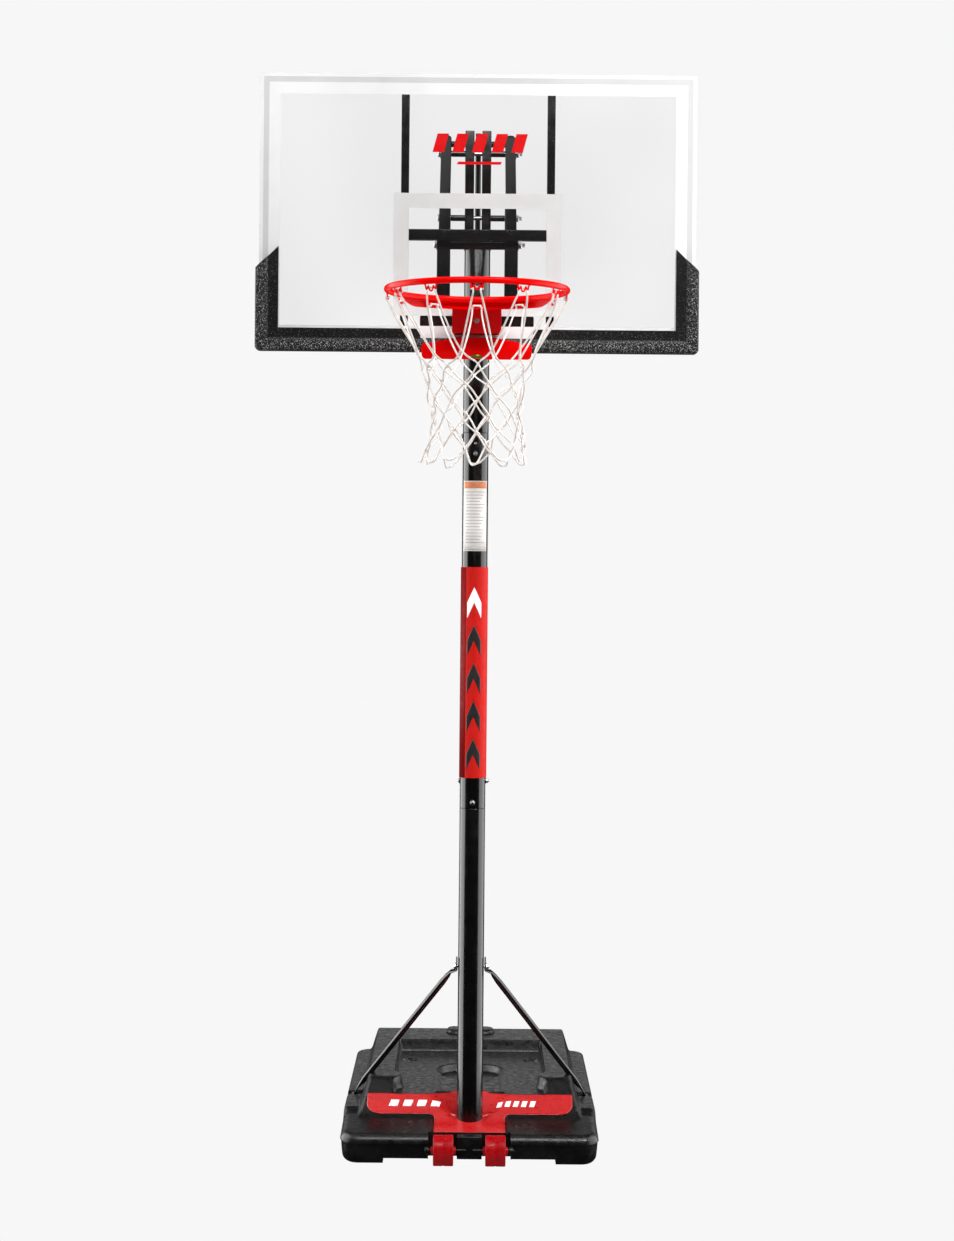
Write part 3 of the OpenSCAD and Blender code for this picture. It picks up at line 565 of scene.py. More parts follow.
# Where a strut runs, its groove in the deck and its slot in the ledge
STRUT_FOOT = Vector((0.350, 0.256, 0.122))
STRUT_HEAD = Vector((0.047, 0.0, 0.545))
GROOVE_HALF, GROOVE_BELOW = 0.026, 0.017
SLOT_X, SLOT_FRONT, SLOT_BACK, SLOT_FLOOR = 0.318, 0.230, 0.282, 0.093
# Extra grid lines at these distances from the tank's outline, and the least gap as a share of a step
EDGE_LINES = (0.0008, 0.0025, 0.005, 0.008, 0.012, 0.017, 0.024)
CLOSEST_LINES = 0.12
# The tank's side as (height, distance in from the outline), and the levels of its feet
SKIRT_LEVELS = (
    (0.0790, 0.0), (0.0775, 0.0008), (0.0768, 0.0034), (0.0750, 0.0036), (0.0735, 0.0020),
    (0.0600, 0.0030), (0.0400, 0.0044), (FOOT_LIFT, 0.0056),
)
FOOT_LEVELS = (0.014, 0.009, 0.005, 0.002, 0.0)


def trough(x, y):
    """The dip in the slope that the pole stands in, wider towards the tray."""
    width = 0.040 + 0.9 * np.clip(y + 0.02, 0, 0.12)
    start = smooth_step((y + 0.045) / 0.07)
    return TROUGH_DEEP * start * (1 - smooth_step((np.abs(x) - 0.02) / width))


def outline_depth(x, y):
    """Distance from a point in to the tank's rounded outline."""
    qx = np.abs(x) - BASE_HALF + BASE_CORNER
    qy = np.abs(y - BASE_MIDDLE) - (BASE_BACK - BASE_FRONT) / 2 + BASE_CORNER
    outside = np.hypot(np.maximum(qx, 0), np.maximum(qy, 0))
    return BASE_CORNER - outside - np.minimum(np.maximum(qx, qy), 0)


def deck_surface(x, y):
    """Height of the raised deck: front slope, sides with draft, flat top and rounded back."""
    slope = SHELF + (y - SLOPE_LOW_Y) * RISE - trough(x, y)
    draft = (DECK - SHOULDER) / (DECK_HALF_LOW - DECK_HALF_TOP)
    side = SHOULDER + (DECK_HALF_LOW - np.abs(x)) * draft
    back = DECK + (DECK_BACK - y) * BACK_STEEPNESS
    walls = smooth_min(smooth_min(slope, side, 0.05), back, 0.02)
    return smooth_min(walls, DECK, 0.010)


def tray_cut(x, y, height):
    """Sinks the tray with its lobes, basin, inset and holes into the deck."""
    ax = np.abs(x)
    inside = np.minimum(np.minimum(TRAY_HALF - ax, TRAY_BACK - y), y - TRAY_FRONT)
    inside = smooth_min(inside, np.hypot(ax - LOBE_X, y - LOBE_Y) - LOBE_R, 0.02)
    floor = smooth_min(height, TRAY, 0.004)
    height = height + (floor - height) * smooth_step(inside / 0.010)
    basin = BASIN_DEEP * smooth_step((BASIN_R - np.hypot(x, y - BASIN_Y)) / 0.009)
    inset = np.minimum(np.minimum(INSET_HALF - ax, y - INSET_FRONT), INSET_BACK - y)
    inset = INSET_DEEP * smooth_step(inset / 0.006)
    holes = HOLE_DEEP * smooth_step((HOLE_R - np.hypot(ax - HOLE_X, y - HOLE_Y)) / 0.006)
    rib = np.abs(np.minimum(RIB_X - ax, y - RIB_FRONT)) / RIB_HALF
    rib = RIB_HIGH * smooth_step(1 - rib) * (y < RIB_BACK) * (y > 0.1) * (ax < 0.105)
    return height - np.maximum(basin, inset) - holes + rib


def strut_cut(x, y, height):
    """The groove over the deck's edge and the slot in the ledge where a strut's foot stands."""
    ax = np.abs(x)
    along = (STRUT_FOOT.x - ax) / (STRUT_FOOT.x - STRUT_HEAD.x)
    line_y = STRUT_FOOT.y * (1 - along)
    line_z = STRUT_FOOT.z + (STRUT_HEAD.z - STRUT_FOOT.z) * along
    near = smooth_step((GROOVE_HALF - np.abs(y - line_y)) / 0.010) * (ax > 0.26) * (ax < 0.335)
    height = height + (np.minimum(height, line_z - GROOVE_BELOW) - height) * near
    slot = smooth_step((ax - SLOT_X) / 0.005)
    slot = slot * smooth_step((y - SLOT_FRONT) / 0.005) * smooth_step((SLOT_BACK - y) / 0.005)
    return height + (SLOT_FLOOR - height) * slot


def tank_top(x, y):
    """Height of the tank's upper surface at points given as arrays."""
    ax = np.abs(x)
    foot = SHOULDER + (LEDGE - SHOULDER) * smooth_step((y - 0.01) / 0.06)
    foot = foot - SHOULDER_DROP * np.clip(y / BASE_FRONT, 0, 1) * (ax > TONGUE + 0.004)
    dip = smooth_step((TONGUE + 0.008 - ax) / 0.008) * (y < 0)
    foot = foot - (SHOULDER - SHELF) * dip
    height = smooth_max(foot, deck_surface(x, y), 0.014)
    height = tray_cut(x, y, height)
    height = strut_cut(x, y, height)
    boss = np.hypot(np.maximum(ax - 0.05, 0), np.maximum(np.abs(y - FILL_Y) - 0.010, 0))
    height = height + BOSS_HIGH * smooth_step((BOSS_R - boss) / 0.010) * (y > 0.80)
    rounding = 0.024 - 0.012 * smooth_step(y / 0.10)
    depth = np.clip(outline_depth(x, y), 0, rounding)
    return height - rounding + np.sqrt(np.maximum(rounding ** 2 - (rounding - depth) ** 2, 0))


def grid_lines(start, end, step, extra):
    """Evenly spaced lines with extra ones, without those that come too close together."""
    count = max(round((end - start) / step), 1)
    lines = sorted([start + (end - start) * i / count for i in range(count + 1)] + list(extra))
    kept = [lines[0]]
    for line in lines[1:]:
        if line - kept[-1] > step * CLOSEST_LINES:
            kept.append(line)
    kept[-1] = end
    return kept


def snapped(lines, target, reach):
    """Moves a line that is within reach of a target on to it."""
    return [target if abs(line - target) < reach else line for line in lines]


def tank_lines():
    half = grid_lines(0, BASE_HALF, 0.0036, [BASE_HALF - inset for inset in EDGE_LINES])
    half = snapped(half, WELL_HALF, 0.0019)
    half = snapped(half, FOOT_IN, 0.0019)
    xs = [-line for line in reversed(half[1:])] + half
    near_ends = [BASE_FRONT + inset for inset in EDGE_LINES] + [BASE_BACK - inset for inset in EDGE_LINES]
    ys = snapped(grid_lines(BASE_FRONT, BASE_BACK, 0.004, near_ends), WELL_BACK, 0.0021)
    return sorted(set(xs)), sorted(set(ys))


def tank_grid(xs, ys):
    """Grid points squeezed at the corners so that the outer columns follow the outline."""
    grid_x, grid_y = np.meshgrid(np.array(xs), np.array(ys))
    into = np.maximum(np.abs(grid_y - BASE_MIDDLE) - (BASE_BACK - BASE_FRONT) / 2 + BASE_CORNER, 0)
    half = BASE_HALF - BASE_CORNER + np.sqrt(np.maximum(BASE_CORNER ** 2 - into ** 2, 0))
    inner = BASE_HALF - 1.1 * BASE_CORNER
    over = np.maximum(np.abs(grid_x) - inner, 0)
    squeezed = inner + over * (half - inner) / (BASE_HALF - inner)
    return np.where(over > 0, np.sign(grid_x) * squeezed, grid_x), grid_y


def tank_rim(left, right, back, last_x, last_y):
    """(row, column) places round the top's edge, in order, with the recess for the wheels."""
    loop = [(0, i) for i in range(left)] + [(j, left) for j in range(back)]
    loop += [(back, i) for i in range(left, right)] + [(j, right) for j in range(back, 0, -1)]
    loop += [(0, i) for i in range(right, last_x)] + [(j, last_x) for j in range(last_y)]
    loop += [(last_y, i) for i in range(last_x, 0, -1)] + [(j, 0) for j in range(last_y, 0, -1)]
    return loop


def build_tank():
    xs, ys = tank_lines()
    grid_x, grid_y = tank_grid(xs, ys)
    grid_z = tank_top(grid_x, grid_y)
    left, right = xs.index(-WELL_HALF), xs.index(WELL_HALF)
    back = ys.index(WELL_BACK)
    last_x, last_y = len(xs) - 1, len(ys) - 1
    bm = bmesh.new()
    top = {}

    def vert(j, i):
        if (j, i) not in top:
            top[j, i] = bm.verts.new((grid_x[j, i], grid_y[j, i], grid_z[j, i]))
        return top[j, i]

    for j in range(last_y):
        for i in range(last_x):
            if j >= back or not left <= i < right:
                bm.faces.new((vert(j, i), vert(j, i + 1), vert(j + 1, i + 1), vert(j + 1, i)))
    add_skirt(bm, [top[place] for place in tank_rim(left, right, back, last_x, last_y)])
    add_box(bm, (-0.036, -0.192, FOOT_LIFT), (0.036, WELL_BACK + 0.004, 0.0850), 0.0025)
    for side in (-1, 1):
        rod(bm, "x", (side * 0.120, AXLE_Y, AXLE_Z), -0.008, 0.006, 0.0105)
    piece("tank", bm, "base_black", "stand", ["base_tank"], smooth=50)


def skirt_column(bm, start, before, after):
    """One column of vertices down the tank's side, which goes on to the floor where there is a foot."""
    way = Vector((after.x - before.x, after.y - before.y, 0)).normalized()
    inward = Vector((-way.y, way.x, 0))
    in_well = abs(start.co.x) <= WELL_HALF + TINY and start.co.y < WELL_BACK + TINY
    foot = abs(start.co.x) >= FOOT_IN - TINY
    foot_levels = [(z, SKIRT_LEVELS[-1][1]) for z in FOOT_LEVELS] if foot else []
    column = [start]
    for z, inset in [*SKIRT_LEVELS, *foot_levels]:
        curve = max(FOOT_ROUND - z, 0) if foot else 0
        inset += FOOT_ROUND - math.sqrt(FOOT_ROUND ** 2 - curve ** 2)
        spot = start.co + inward * (0 if in_well else inset)
        column.append(bm.verts.new((spot.x, spot.y, min(z, start.co.z - 0.0003))))
    return column


def runs_of_feet(columns, base):
    """Runs of neighbouring columns that are longer than base; each run stands for one foot."""
    feet = []
    current = []
    for column in columns + columns[:1]:
        if len(column) > base:
            current.append(column)
        elif current:
            feet.append(current)
            current = []
    if current:
        feet[0] = current[:-1] + feet[0]
    return feet


def add_skirt(bm, rim):
    """The tank's side walls with a seam line, the rounded feet and the flat underside."""
    count = len(rim)
    columns = [
        skirt_column(bm, start, rim[k - 1].co, rim[(k + 1) % count].co) for k, start in enumerate(rim)
    ]
    base = len(SKIRT_LEVELS) + 1
    for k in range(count):
        first, second = columns[k], columns[(k + 1) % count]
        for level in range(min(len(first), len(second)) - 1):
            bm.faces.new((first[level], second[level], second[level + 1], first[level + 1]))
    feet = runs_of_feet(columns, base)
    for foot in feet:
        bm.faces.new([column[-1] for column in foot])
        bm.faces.new(foot[0][base - 1:] + list(reversed(foot[-1][base - 1:])))
    under = []
    for column in columns:
        if len(column) == base or any(column is foot[0] or column is foot[-1] for foot in feet):
            under.append(column[base - 1])
    bm.faces.new(under)


# The decal: height over the tank, lower edge, half width, corner, where the tongue flares, and its grid
DECAL_LIFT = 0.0014
DECAL_LOW_Y = SLOPE_LOW_Y + (SHOULDER + 0.004 - SHELF) / RISE
DECAL_HALF, DECAL_CORNER = 0.305, 0.042
DECAL_SPLIT = TONGUE + 0.014
DECAL_COLUMNS, BAND_ROWS, TONGUE_ROWS = 120, 40, 45
# The share of the columns on each side that lies over the tongue
INNER_SHARE = 0.4


def decal_band_row(share_up, half):
    """Points across the decal's band, with more of them over the tongue than over the rest."""
    points = []
    for i in range(-DECAL_COLUMNS, DECAL_COLUMNS + 1):
        share = abs(i) / DECAL_COLUMNS
        reach = DECAL_SPLIT * share / INNER_SHARE
        if share >= INNER_SHARE:
            reach = DECAL_SPLIT + (half - DECAL_SPLIT) * (share - INNER_SHARE) / (1 - INNER_SHARE)
        x = math.copysign(reach, i)
        edge = SLOPE_HIGH_Y + float(trough(np.array(x), np.array(SLOPE_HIGH_Y))) / RISE
        points.append((x, DECAL_LOW_Y + (edge - DECAL_LOW_Y) * share_up))
    return points


def decal_band():
    rows = []
    for k in range(BAND_ROWS + 1):
        share_up = k / BAND_ROWS
        y = DECAL_LOW_Y + (SLOPE_HIGH_Y - DECAL_LOW_Y) * share_up
        near = max(DECAL_CORNER - (y - DECAL_LOW_Y), 0)
        half = DECAL_HALF - DECAL_CORNER + math.sqrt(DECAL_CORNER ** 2 - near ** 2)
        rows.append(decal_band_row(share_up, half))
    return rows


def decal_tongue(count):
    """Rows of points from the band down to the shelf's edge, count points to each side."""
    flare = DECAL_SPLIT - TONGUE
    rows = []
    for k in range(1, TONGUE_ROWS + 1):
        y = DECAL_LOW_Y + (WELL_BACK + 0.001 - DECAL_LOW_Y) * k / TONGUE_ROWS
        near = max(flare - (DECAL_LOW_Y - y), 0)
        half = DECAL_SPLIT - math.sqrt(max(flare ** 2 - near ** 2, 0))
        rows.append([(half * i / count, y) for i in range(-count, count + 1)])
    return rows


def build_decal():
    """The red sheet over the slope: a band with rounded lower corners and a tongue to the shelf's edge."""
    bm = bmesh.new()
    grid = add_sheet(bm, decal_band(), DECAL_LIFT)
    count = round(DECAL_COLUMNS * INNER_SHARE)
    first = DECAL_COLUMNS - count
    add_sheet(bm, decal_tongue(count), DECAL_LIFT, grid[0][first:first + 2 * count + 1])
    bmesh.ops.delete(bm, geom=[face for face in bm.faces if inside_pole(face)], context="FACES")
    thicken(piece("decal", bm, "decal_red", "stand", ["base_decal"]), 0.0008)


def inside_pole(face):
    centre = face.calc_center_median()
    return math.hypot(centre.x, centre.y) < POLE_R - 0.006


def add_sheet(bm, rows, lift, joined=None):
    """A sheet laid on the tank along rows of (x, y) points, optionally joined to a row of vertices."""
    grid = [joined] if joined else []
    for points in rows:
        xs, ys = np.array(points).T
        zs = tank_top(xs, ys) + lift
        grid.append([bm.verts.new(spot) for spot in zip(xs, ys, zs)])
    bridge_rows(bm, grid)
    return grid


def build_decal_dashes():
    """Plain white dashes printed on the decal, left and right of the pole."""
    lean, filled, front = 0.006, 0.62, 0.026
    bm = bmesh.new()
    for start, end, count, height in ((-0.240, -0.075, 4, 0.014), (0.078, 0.200, 5, 0.013)):
        pitch = (end - start) / count
        for k in range(count):
            low = start + pitch * k
            rows = []
            for step in range(5):
                y = front + height * 1.7 * step / 4
                shift = lean * step / 4
                rows.append([(low + shift + pitch * filled * i / 6, y) for i in range(7)])
            add_sheet(bm, rows, DECAL_LIFT + 0.0005)
    thicken(piece("decal_dashes", bm, "print_white", "stand"), 0.0003)


def mirrored(half_profile):
    """A profile of (radius, height) points followed by its mirror image above height zero."""
    return [*half_profile, *((radius, -height) for radius, height in reversed(half_profile))]


def build_wheels():
    half, radius, edge, groove = 0.029, 0.044, 0.0020, 0.0009
    profile = mirrored((
        (0.0055, -0.0360), (0.0105, -0.0360), (0.0112, -0.0350), (0.0118, -0.0290), (0.0300, -0.0270),
        (0.0320, -half), (radius - edge, -half), (radius, -half + edge), (radius, -0.0035),
        (radius - groove, -0.0020),
    ))
    for side, word in SIDES:
        place = Matrix.Translation((side * WHEEL_X, AXLE_Y, AXLE_Z))
        bm = bmesh.new()
        add_lathe(bm, profile, "x", place.translation, 72, closed=True)
        for k in range(6):
            spoke = bmesh.new()
            add_box(spoke, (-0.0275, 0.0115, -0.0016), (0.0275, 0.0315, 0.0016), 0.0006, 1)
            merge(bm, spoke, place @ Matrix.Rotation(k * math.pi / 3, 4, "X"))
        piece(f"wheel_{word}_tyre", bm, "wheel_red", f"wheel_{word}", [f"wheel_{word}"])
    bm = bmesh.new()
    for side in (-1, 1):
        rod(bm, "x", (side * 0.069, AXLE_Y, AXLE_Z), -0.060, 0.060, 0.005, 24)
    piece("axles", bm, "frame_black", "stand", ["wheel_axles"])


def build_fill_cap():
    """A screw cap in its boss, with a grip bar across the top and a ribbed edge."""
    rib_circle = 0.0322
    bm = bmesh.new()
    profile = [
        (0, 0.169), (0.0230, 0.169), (0.0237, 0.170), (0.0237, 0.1985), (0.0310, 0.1990), (0.0320, 0.2000),
        (0.0320, 0.2065), (0.0305, 0.2080), (0.0250, 0.2085), (0.0235, 0.2070), (0, 0.2070),
    ]
    add_lathe(bm, profile, "z", (0, FILL_Y, 0), 48)
    add_box(bm, (-0.023, FILL_Y - 0.003, 0.206), (0.023, FILL_Y + 0.003, 0.216), 0.0018)
    for cos, sin in circle(24):
        spot = (rib_circle * cos, FILL_Y + rib_circle * sin, 0)
        rod(bm, "z", spot, 0.2005, 0.2060, 0.0010, 8, 0.0003)
    piece("cap", bm, "cap_black", "fill_cap", ["fill_cap"])


# ---------- Pole ----------
CHEVRONS = 5


def build_pole():
    """Three tubes; the middle and upper ones have a narrowed end inside the tube below."""
    wall, edge, overlap, play = 0.002, 0.0012, 0.110, 0.0003
    inner = POLE_R - wall
    lower_top, middle_top, top = 1.013, 2.120, 2.660
    for name, low, high in (
        ("lower", 0.062, lower_top), ("middle", lower_top, middle_top), ("upper", middle_top, top),
    ):
        profile = [
            (POLE_R - edge, low + 0.0004), (POLE_R, low + edge + 0.0004), (POLE_R, high - edge),
            (POLE_R - edge * 0.5, high), (inner, high), (inner, low + 0.004),
        ]
        if name != "lower":
            profile[-1:] = [
                (inner, low + 0.006), (inner - wall, low + 0.002), (inner - wall, low - overlap),
                (inner - play, low - overlap), (inner - play, low),
            ]
        bm = bmesh.new()
        add_lathe(bm, profile, "z", sides=96, closed=True)
        piece(f"pole_{name}_tube", bm, "pole_black", "stand", [f"pole_{name}"])


def build_pole_bolts():
    """Domed screw heads on the pole, the larger ones on washers, and one nut."""
    dome = ((0.0, 0.0062), (0.3, 0.0060), (0.62, 0.0050), (0.88, 0.0030), (1.0, 0.0010), (1.0, 0.0))
    shank, shank_depth, least_with_washer, washer_share, washer = 0.7, 0.002, 0.005, 1.35, 0.0010
    through_z, through_r = 1.094, 0.0075
    bm = bmesh.new()
    for axis, at, radius in (
        ("x", (-POLE_R, 0, through_z), through_r),
        ("y", (0.0, -POLE_R, 1.032), 0.0070), ("x", (-POLE_R, 0, 2.112), 0.0065),
        ("y", (0.0, -POLE_R, 2.089), 0.0045), ("y", (0.0, -POLE_R, 2.059), 0.0055),
        ("y", (0.0125, -POLE_R + 0.002, 2.033), 0.0040),
    ):
        points = [(radius * share, -height) for share, height in dome]
        points += [(radius * shank, 0.0), (radius * shank, shank_depth), (0, shank_depth)]
        add_lathe(bm, points, axis, at, 24)
        if radius > least_with_washer:
            wide = radius * washer_share
            add_lathe(bm, [(0, 0), (wide, 0), (wide, -washer), (0, -washer)], axis, at, 24)
    nut = (POLE_R, 0, through_z)
    add_hex(bm, nut, "x", 1, through_r, 0.0065, 0.0090)
    rod(bm, "x", nut, -0.002, 0.0105, 0.0040, 20)
    piece("pole_screws", bm, "spring_steel", "stand", ["pole_bolts"])


def wrapped(bm, rows, radius):
    """A patch wrapped on the pole's front; rows are lists of (sideways distance along the skin, height)."""
    grid = []
    for points in rows:
        angles = [(sideways / radius, z) for sideways, z in points]
        spots = [(radius * math.sin(angle), -radius * math.cos(angle), z) for angle, z in angles]
        grid.append([bm.verts.new(spot) for spot in spots])
    bridge_rows(bm, grid)


def band_rows(left, right, heights, steps):
    """Rows of evenly spaced points from left to right, one row for each height."""
    return [[(left + (right - left) * i / steps, z) for i in range(steps + 1)] for z in heights]


def build_sleeve():
    low, high, skin = 1.104, 1.725, POLE_R + 0.0022
    bm = bmesh.new()
    add_lathe(bm, [
        (POLE_R + 0.0002, low), (skin - 0.0006, low), (skin, low + 0.0008), (skin - 0.0002, low + 0.006),
        (skin, low + 0.008), (skin, high - 0.008), (skin - 0.0002, high - 0.006), (skin, high - 0.0008),
        (skin - 0.0006, high), (POLE_R + 0.0002, high),
    ], "z", sides=96, closed=True)
    piece("sleeve", bm, "sleeve_red", "stand", ["pole_sleeve"])
    # A strip of darker red wrapped on the sleeve's left side: painted shade, standing in for the side away
    # from the brighter right-hand light
    bm = bmesh.new()
    wrapped(bm, band_rows(-0.026, -0.060, (low + 0.001, (low + high) / 2, high - 0.001), 16), skin + 0.0003)
    thicken(piece("sleeve_painted_shade", bm, "sleeve_shade_red", "stand"), 0.0005)
    for number in range(CHEVRONS):
        build_chevron(number, skin)


def build_chevron(number, skin):
    """One of the arrowheads that climb the sleeve; the last one is white."""
    pitch, half, bar, peak, lowest = 0.1115, 0.0215, 0.046, 0.046, 1.128
    base = lowest + pitch * number
    rows = []
    for step in range(9):
        z = base + bar * step / 8
        rows.append([(half * i / 10, z + peak * (1 - abs(i) / 10)) for i in range(-10, 11)])
    bm = bmesh.new()
    wrapped(bm, rows, skin + 0.0006)
    look = "print_white" if number == CHEVRONS - 1 else "print_black"
    thicken(piece(f"sleeve_chevron_{number}", bm, look, "stand"), 0.0004)


def build_label():
    """A pale label with an orange head, a grey foot and plain grey rules in place of lettering."""
    low, high, skin, half = 1.772, 1.979, POLE_R + 0.0006, 0.0405
    margin, print_lift = 0.003, 0.0003
    for name, look, bottom, top, reach, lift in (
        ("label_paper", "label_white", low, high, half, 0.0),
        ("label_header", "label_orange", high - 0.022, high - margin, half - margin, print_lift),
        ("label_footer", "label_grey", low + margin, low + 0.012, half - margin, print_lift),
    ):
        bm = bmesh.new()
        wrapped(bm, band_rows(-reach, reach, (bottom, (bottom + top) / 2, top), 24), skin + lift)
        nodes = ["pole_label"] if name == "label_paper" else ()
        thicken(piece(name, bm, look, "stand", nodes), 0.0003)
    rules, first_drop, pitch, thick, indent = 17, 0.034, 0.0093, 0.0022, 0.008
    bm = bmesh.new()
    for k in range(rules):
        z = high - first_drop - pitch * k
        end = half - indent - 0.006 * ((k * 5) % 4)
        wrapped(bm, band_rows(-half + indent, end, (z, z + thick), 16), skin + print_lift)
    thicken(piece("label_rules", bm, "label_grey", "stand"), 0.0002)


# ---------- Struts ----------
STRUT_R = 0.0095


def build_strut(side, name):
    """A round tube flattened to a bent tab at each end."""
    foot = Vector((side * STRUT_FOOT.x, STRUT_FOOT.y, STRUT_FOOT.z))
    head = Vector((side * STRUT_HEAD.x, 0, STRUT_HEAD.z))
    way = (foot - head).normalized()
    tab_x = side * (POLE_R + 0.0040)
    path = [
        Vector((tab_x, 0, 0.572)), Vector((tab_x, 0, 0.556)), Vector((tab_x, 0.0005, 0.534)),
        head + way * 0.024, head + way * 0.042, head + way * 0.070,
        foot - way * 0.060, foot - way * 0.036, foot - way * 0.018,
        Vector((foot.x, 0.257, 0.118)), Vector((foot.x, 0.258, 0.094)),
    ]
    tab, bend, neck, full = (1.35, 0.24), (1.30, 0.45), (1.12, 0.8), (1.0, 1.0)
    flat = [tab, tab, tab, bend, neck, full, full, neck, bend, tab, tab]
    bm = bmesh.new()
    add_tube(bm, path, STRUT_R, 24, flat, first_side=Vector((0, 1, 0)))
    piece(f"strut_{name}_tube", bm, "pole_black", "stand", [f"strut_{name}"], smooth=50)


def build_struts():
    for side, word in SIDES:
        build_strut(side, word)
    bm = bmesh.new()
    bolt_across(bm, 0, STRUT_HEAD.z, POLE_R + 0.0065, radius=0.0040, head=0.0080, tail=0.010)
    piece("strut_head_bolt", bm, "zinc", "stand", ["strut_bolt"])
    screw_x, screw_y, screw_z = 0.3535, 0.258, 0.108
    bm = bmesh.new()
    for side in (-1, 1):
        add_hex(bm, (side * screw_x, screw_y, screw_z), "x", side, 0.0080, 0.0055, 0.0100)
        rod(bm, "x", (0, screw_y, screw_z), side * 0.292, side * screw_x, 0.0040, 20)
    piece("strut_foot_screws", bm, "frame_black", "stand", ["strut_foot_bolts"])


# ---------- Lift ----------
ARM_TILT = math.radians(42)
ARM_X, ARM_LENGTH = 0.095, 0.470
TIE_REACH = 0.052
UPPER_PIVOT, LOWER_PIVOT = 2.946, 2.756
PIVOT_BOLT_R, PIVOT_HEAD_R = 0.006, 0.0110
BOARD_PIVOT_Y = -ARM_LENGTH * math.cos(ARM_TILT)
BOARD_UPPER = UPPER_PIVOT - ARM_LENGTH * math.sin(ARM_TILT)
BOARD_LOWER = BOARD_UPPER - (UPPER_PIVOT - LOWER_PIVOT)
ADJUSTER_Y = 0.050


def build_pole_head():
    low, high, spacer_in, spacer_out = 2.660, 3.011, 0.0355, 0.0795
    bm = bmesh.new()
    rod(bm, "z", (0, 0, 0), low, low + 0.006, POLE_R + 0.002, 72, 0.001)
    for side in (-1, 1):
        add_side_box(bm, side, 0.0115, 0.0385, (-0.025, low + 0.004), (0.025, high), 0.003)
    piece("head_bars", bm, "pole_black", "stand", ["pole_head"])
    spacers, bolts = bmesh.new(), bmesh.new()
    for z in (LOWER_PIVOT, UPPER_PIVOT):
        for side in (-1, 1):
            rod(spacers, "x", (0, 0, z), side * spacer_in, side * spacer_out, 0.009)
        bolt_across(bolts, 0, z, 0.1105, PIVOT_BOLT_R, PIVOT_HEAD_R)
    piece("pivot_spacers", spacers, "pole_black", "stand", ["pole_pivot_spacers"])
    piece("pivot_bolts", bolts, "zinc", "stand", ["pole_pivot_bolts"])


def arm_outline(tail, height):
    """Side view of an arm: rounded at the board end, square at the tail."""
    rounding = 0.0185
    points = [(tail, -height / 2), (tail, height / 2)]
    for k in range(13):
        angle = math.pi / 2 + math.pi * k / 12
        points.append((-ARM_LENGTH + rounding * math.cos(angle), math.sin(angle) * height / 2))
    return points


def arm_place(side, pivot):
    return Matrix.Translation((side * ARM_X, 0, pivot)) @ Matrix.Rotation(ARM_TILT, 4, "X")


def build_arms():
    for level, pivot, tail in (("lower", LOWER_PIVOT, 0.028), ("upper", UPPER_PIVOT, 0.064)):
        for side, word in SIDES:
            arm = bmesh.new()
            add_prism(arm, arm_outline(tail, 0.038), "x", -0.015, 0.015, 0.0022)
            bm = bmesh.new()
            merge(bm, arm, arm_place(side, pivot))
            piece(f"{level}_arm_{word}_tube", bm, "frame_black", f"{level}_arms", [f"{level}_arm_{word}"])
    bm = bmesh.new()
    for side in (-1, 1):
        dome = bmesh.new()
        add_box(dome, (-0.015, 0.060, -0.019), (0.015, 0.0775, 0.019), 0.0125, 6)
        merge(bm, dome, arm_place(side, UPPER_PIVOT))
    piece("arm_end_caps", bm, "cap_black", "upper_arms", ["arm_caps"])
    bm = bmesh.new()
    tie_y, tie_z = TIE_REACH * math.cos(ARM_TILT), UPPER_PIVOT + TIE_REACH * math.sin(ARM_TILT)
    rod(bm, "x", (0, tie_y, tie_z), -0.080, 0.080, 0.009)
    piece("arm_tie_bar", bm, "frame_black", "upper_arms", ["arm_tie"])


def build_adjuster():
    """The rod behind the pole with a ribbed grip below and a yoke round the tie bar above."""
    grip_r, groove_r, rod_r, bottom, top = 0.0115, 0.0108, 0.0085, 1.880, 2.951
    bm = bmesh.new()
    profile = [(0, bottom), (0.0105, bottom), (grip_r, bottom + 0.002)]
    for k in range(12):
        z = bottom + 0.006 + 0.008 * k
        profile += [(grip_r, z), (groove_r, z + 0.0015), (groove_r, z + 0.0025), (grip_r, z + 0.004)]
    profile += [(grip_r, 1.988), (0.0100, 1.991), (rod_r, 1.992), (rod_r, top), (0, top)]
    add_lathe(bm, profile, "z", (0, ADJUSTER_Y, 0), 32)
    yoke = [
        (0.028, 2.9493), (0.076, 2.9493), (0.076, 3.0123), (0.028, 3.0123), (0.028, 2.9923),
        (0.065, 2.9923), (0.065, 2.9693), (0.028, 2.9693),
    ]
    add_prism(bm, yoke, "x", -0.008, 0.008, 0.0012, 2)
    piece("adjuster_bar", bm, "frame_black", "adjuster", ["adjuster_rod"])


def build_guide():
    """The tube that guides the adjuster, its two stays to the pole and the lever's two ears."""
    low, high, bore, skin, edge = 2.030, 2.120, 0.0087, 0.0135, 0.0005
    bm = bmesh.new()
    add_lathe(bm, [
        (bore, low), (skin - edge, low), (skin, low + 0.001), (skin, high - 0.001), (skin - edge, high),
        (bore, high),
    ], "z", (0, ADJUSTER_Y, 0), 40, closed=True)
    for side in (-1, 1):
        add_side_box(bm, side, 0.009, 0.020, (0.0345, low + 0.001), (ADJUSTER_Y, high - 0.001), 0.0015)
        add_side_box(bm, side, 0.008, 0.014, (ADJUSTER_Y, low), (ADJUSTER_Y + 0.034, 2.060), 0.0012)
    piece("guide", bm, "pole_black", "stand", ["adjuster_guide"])


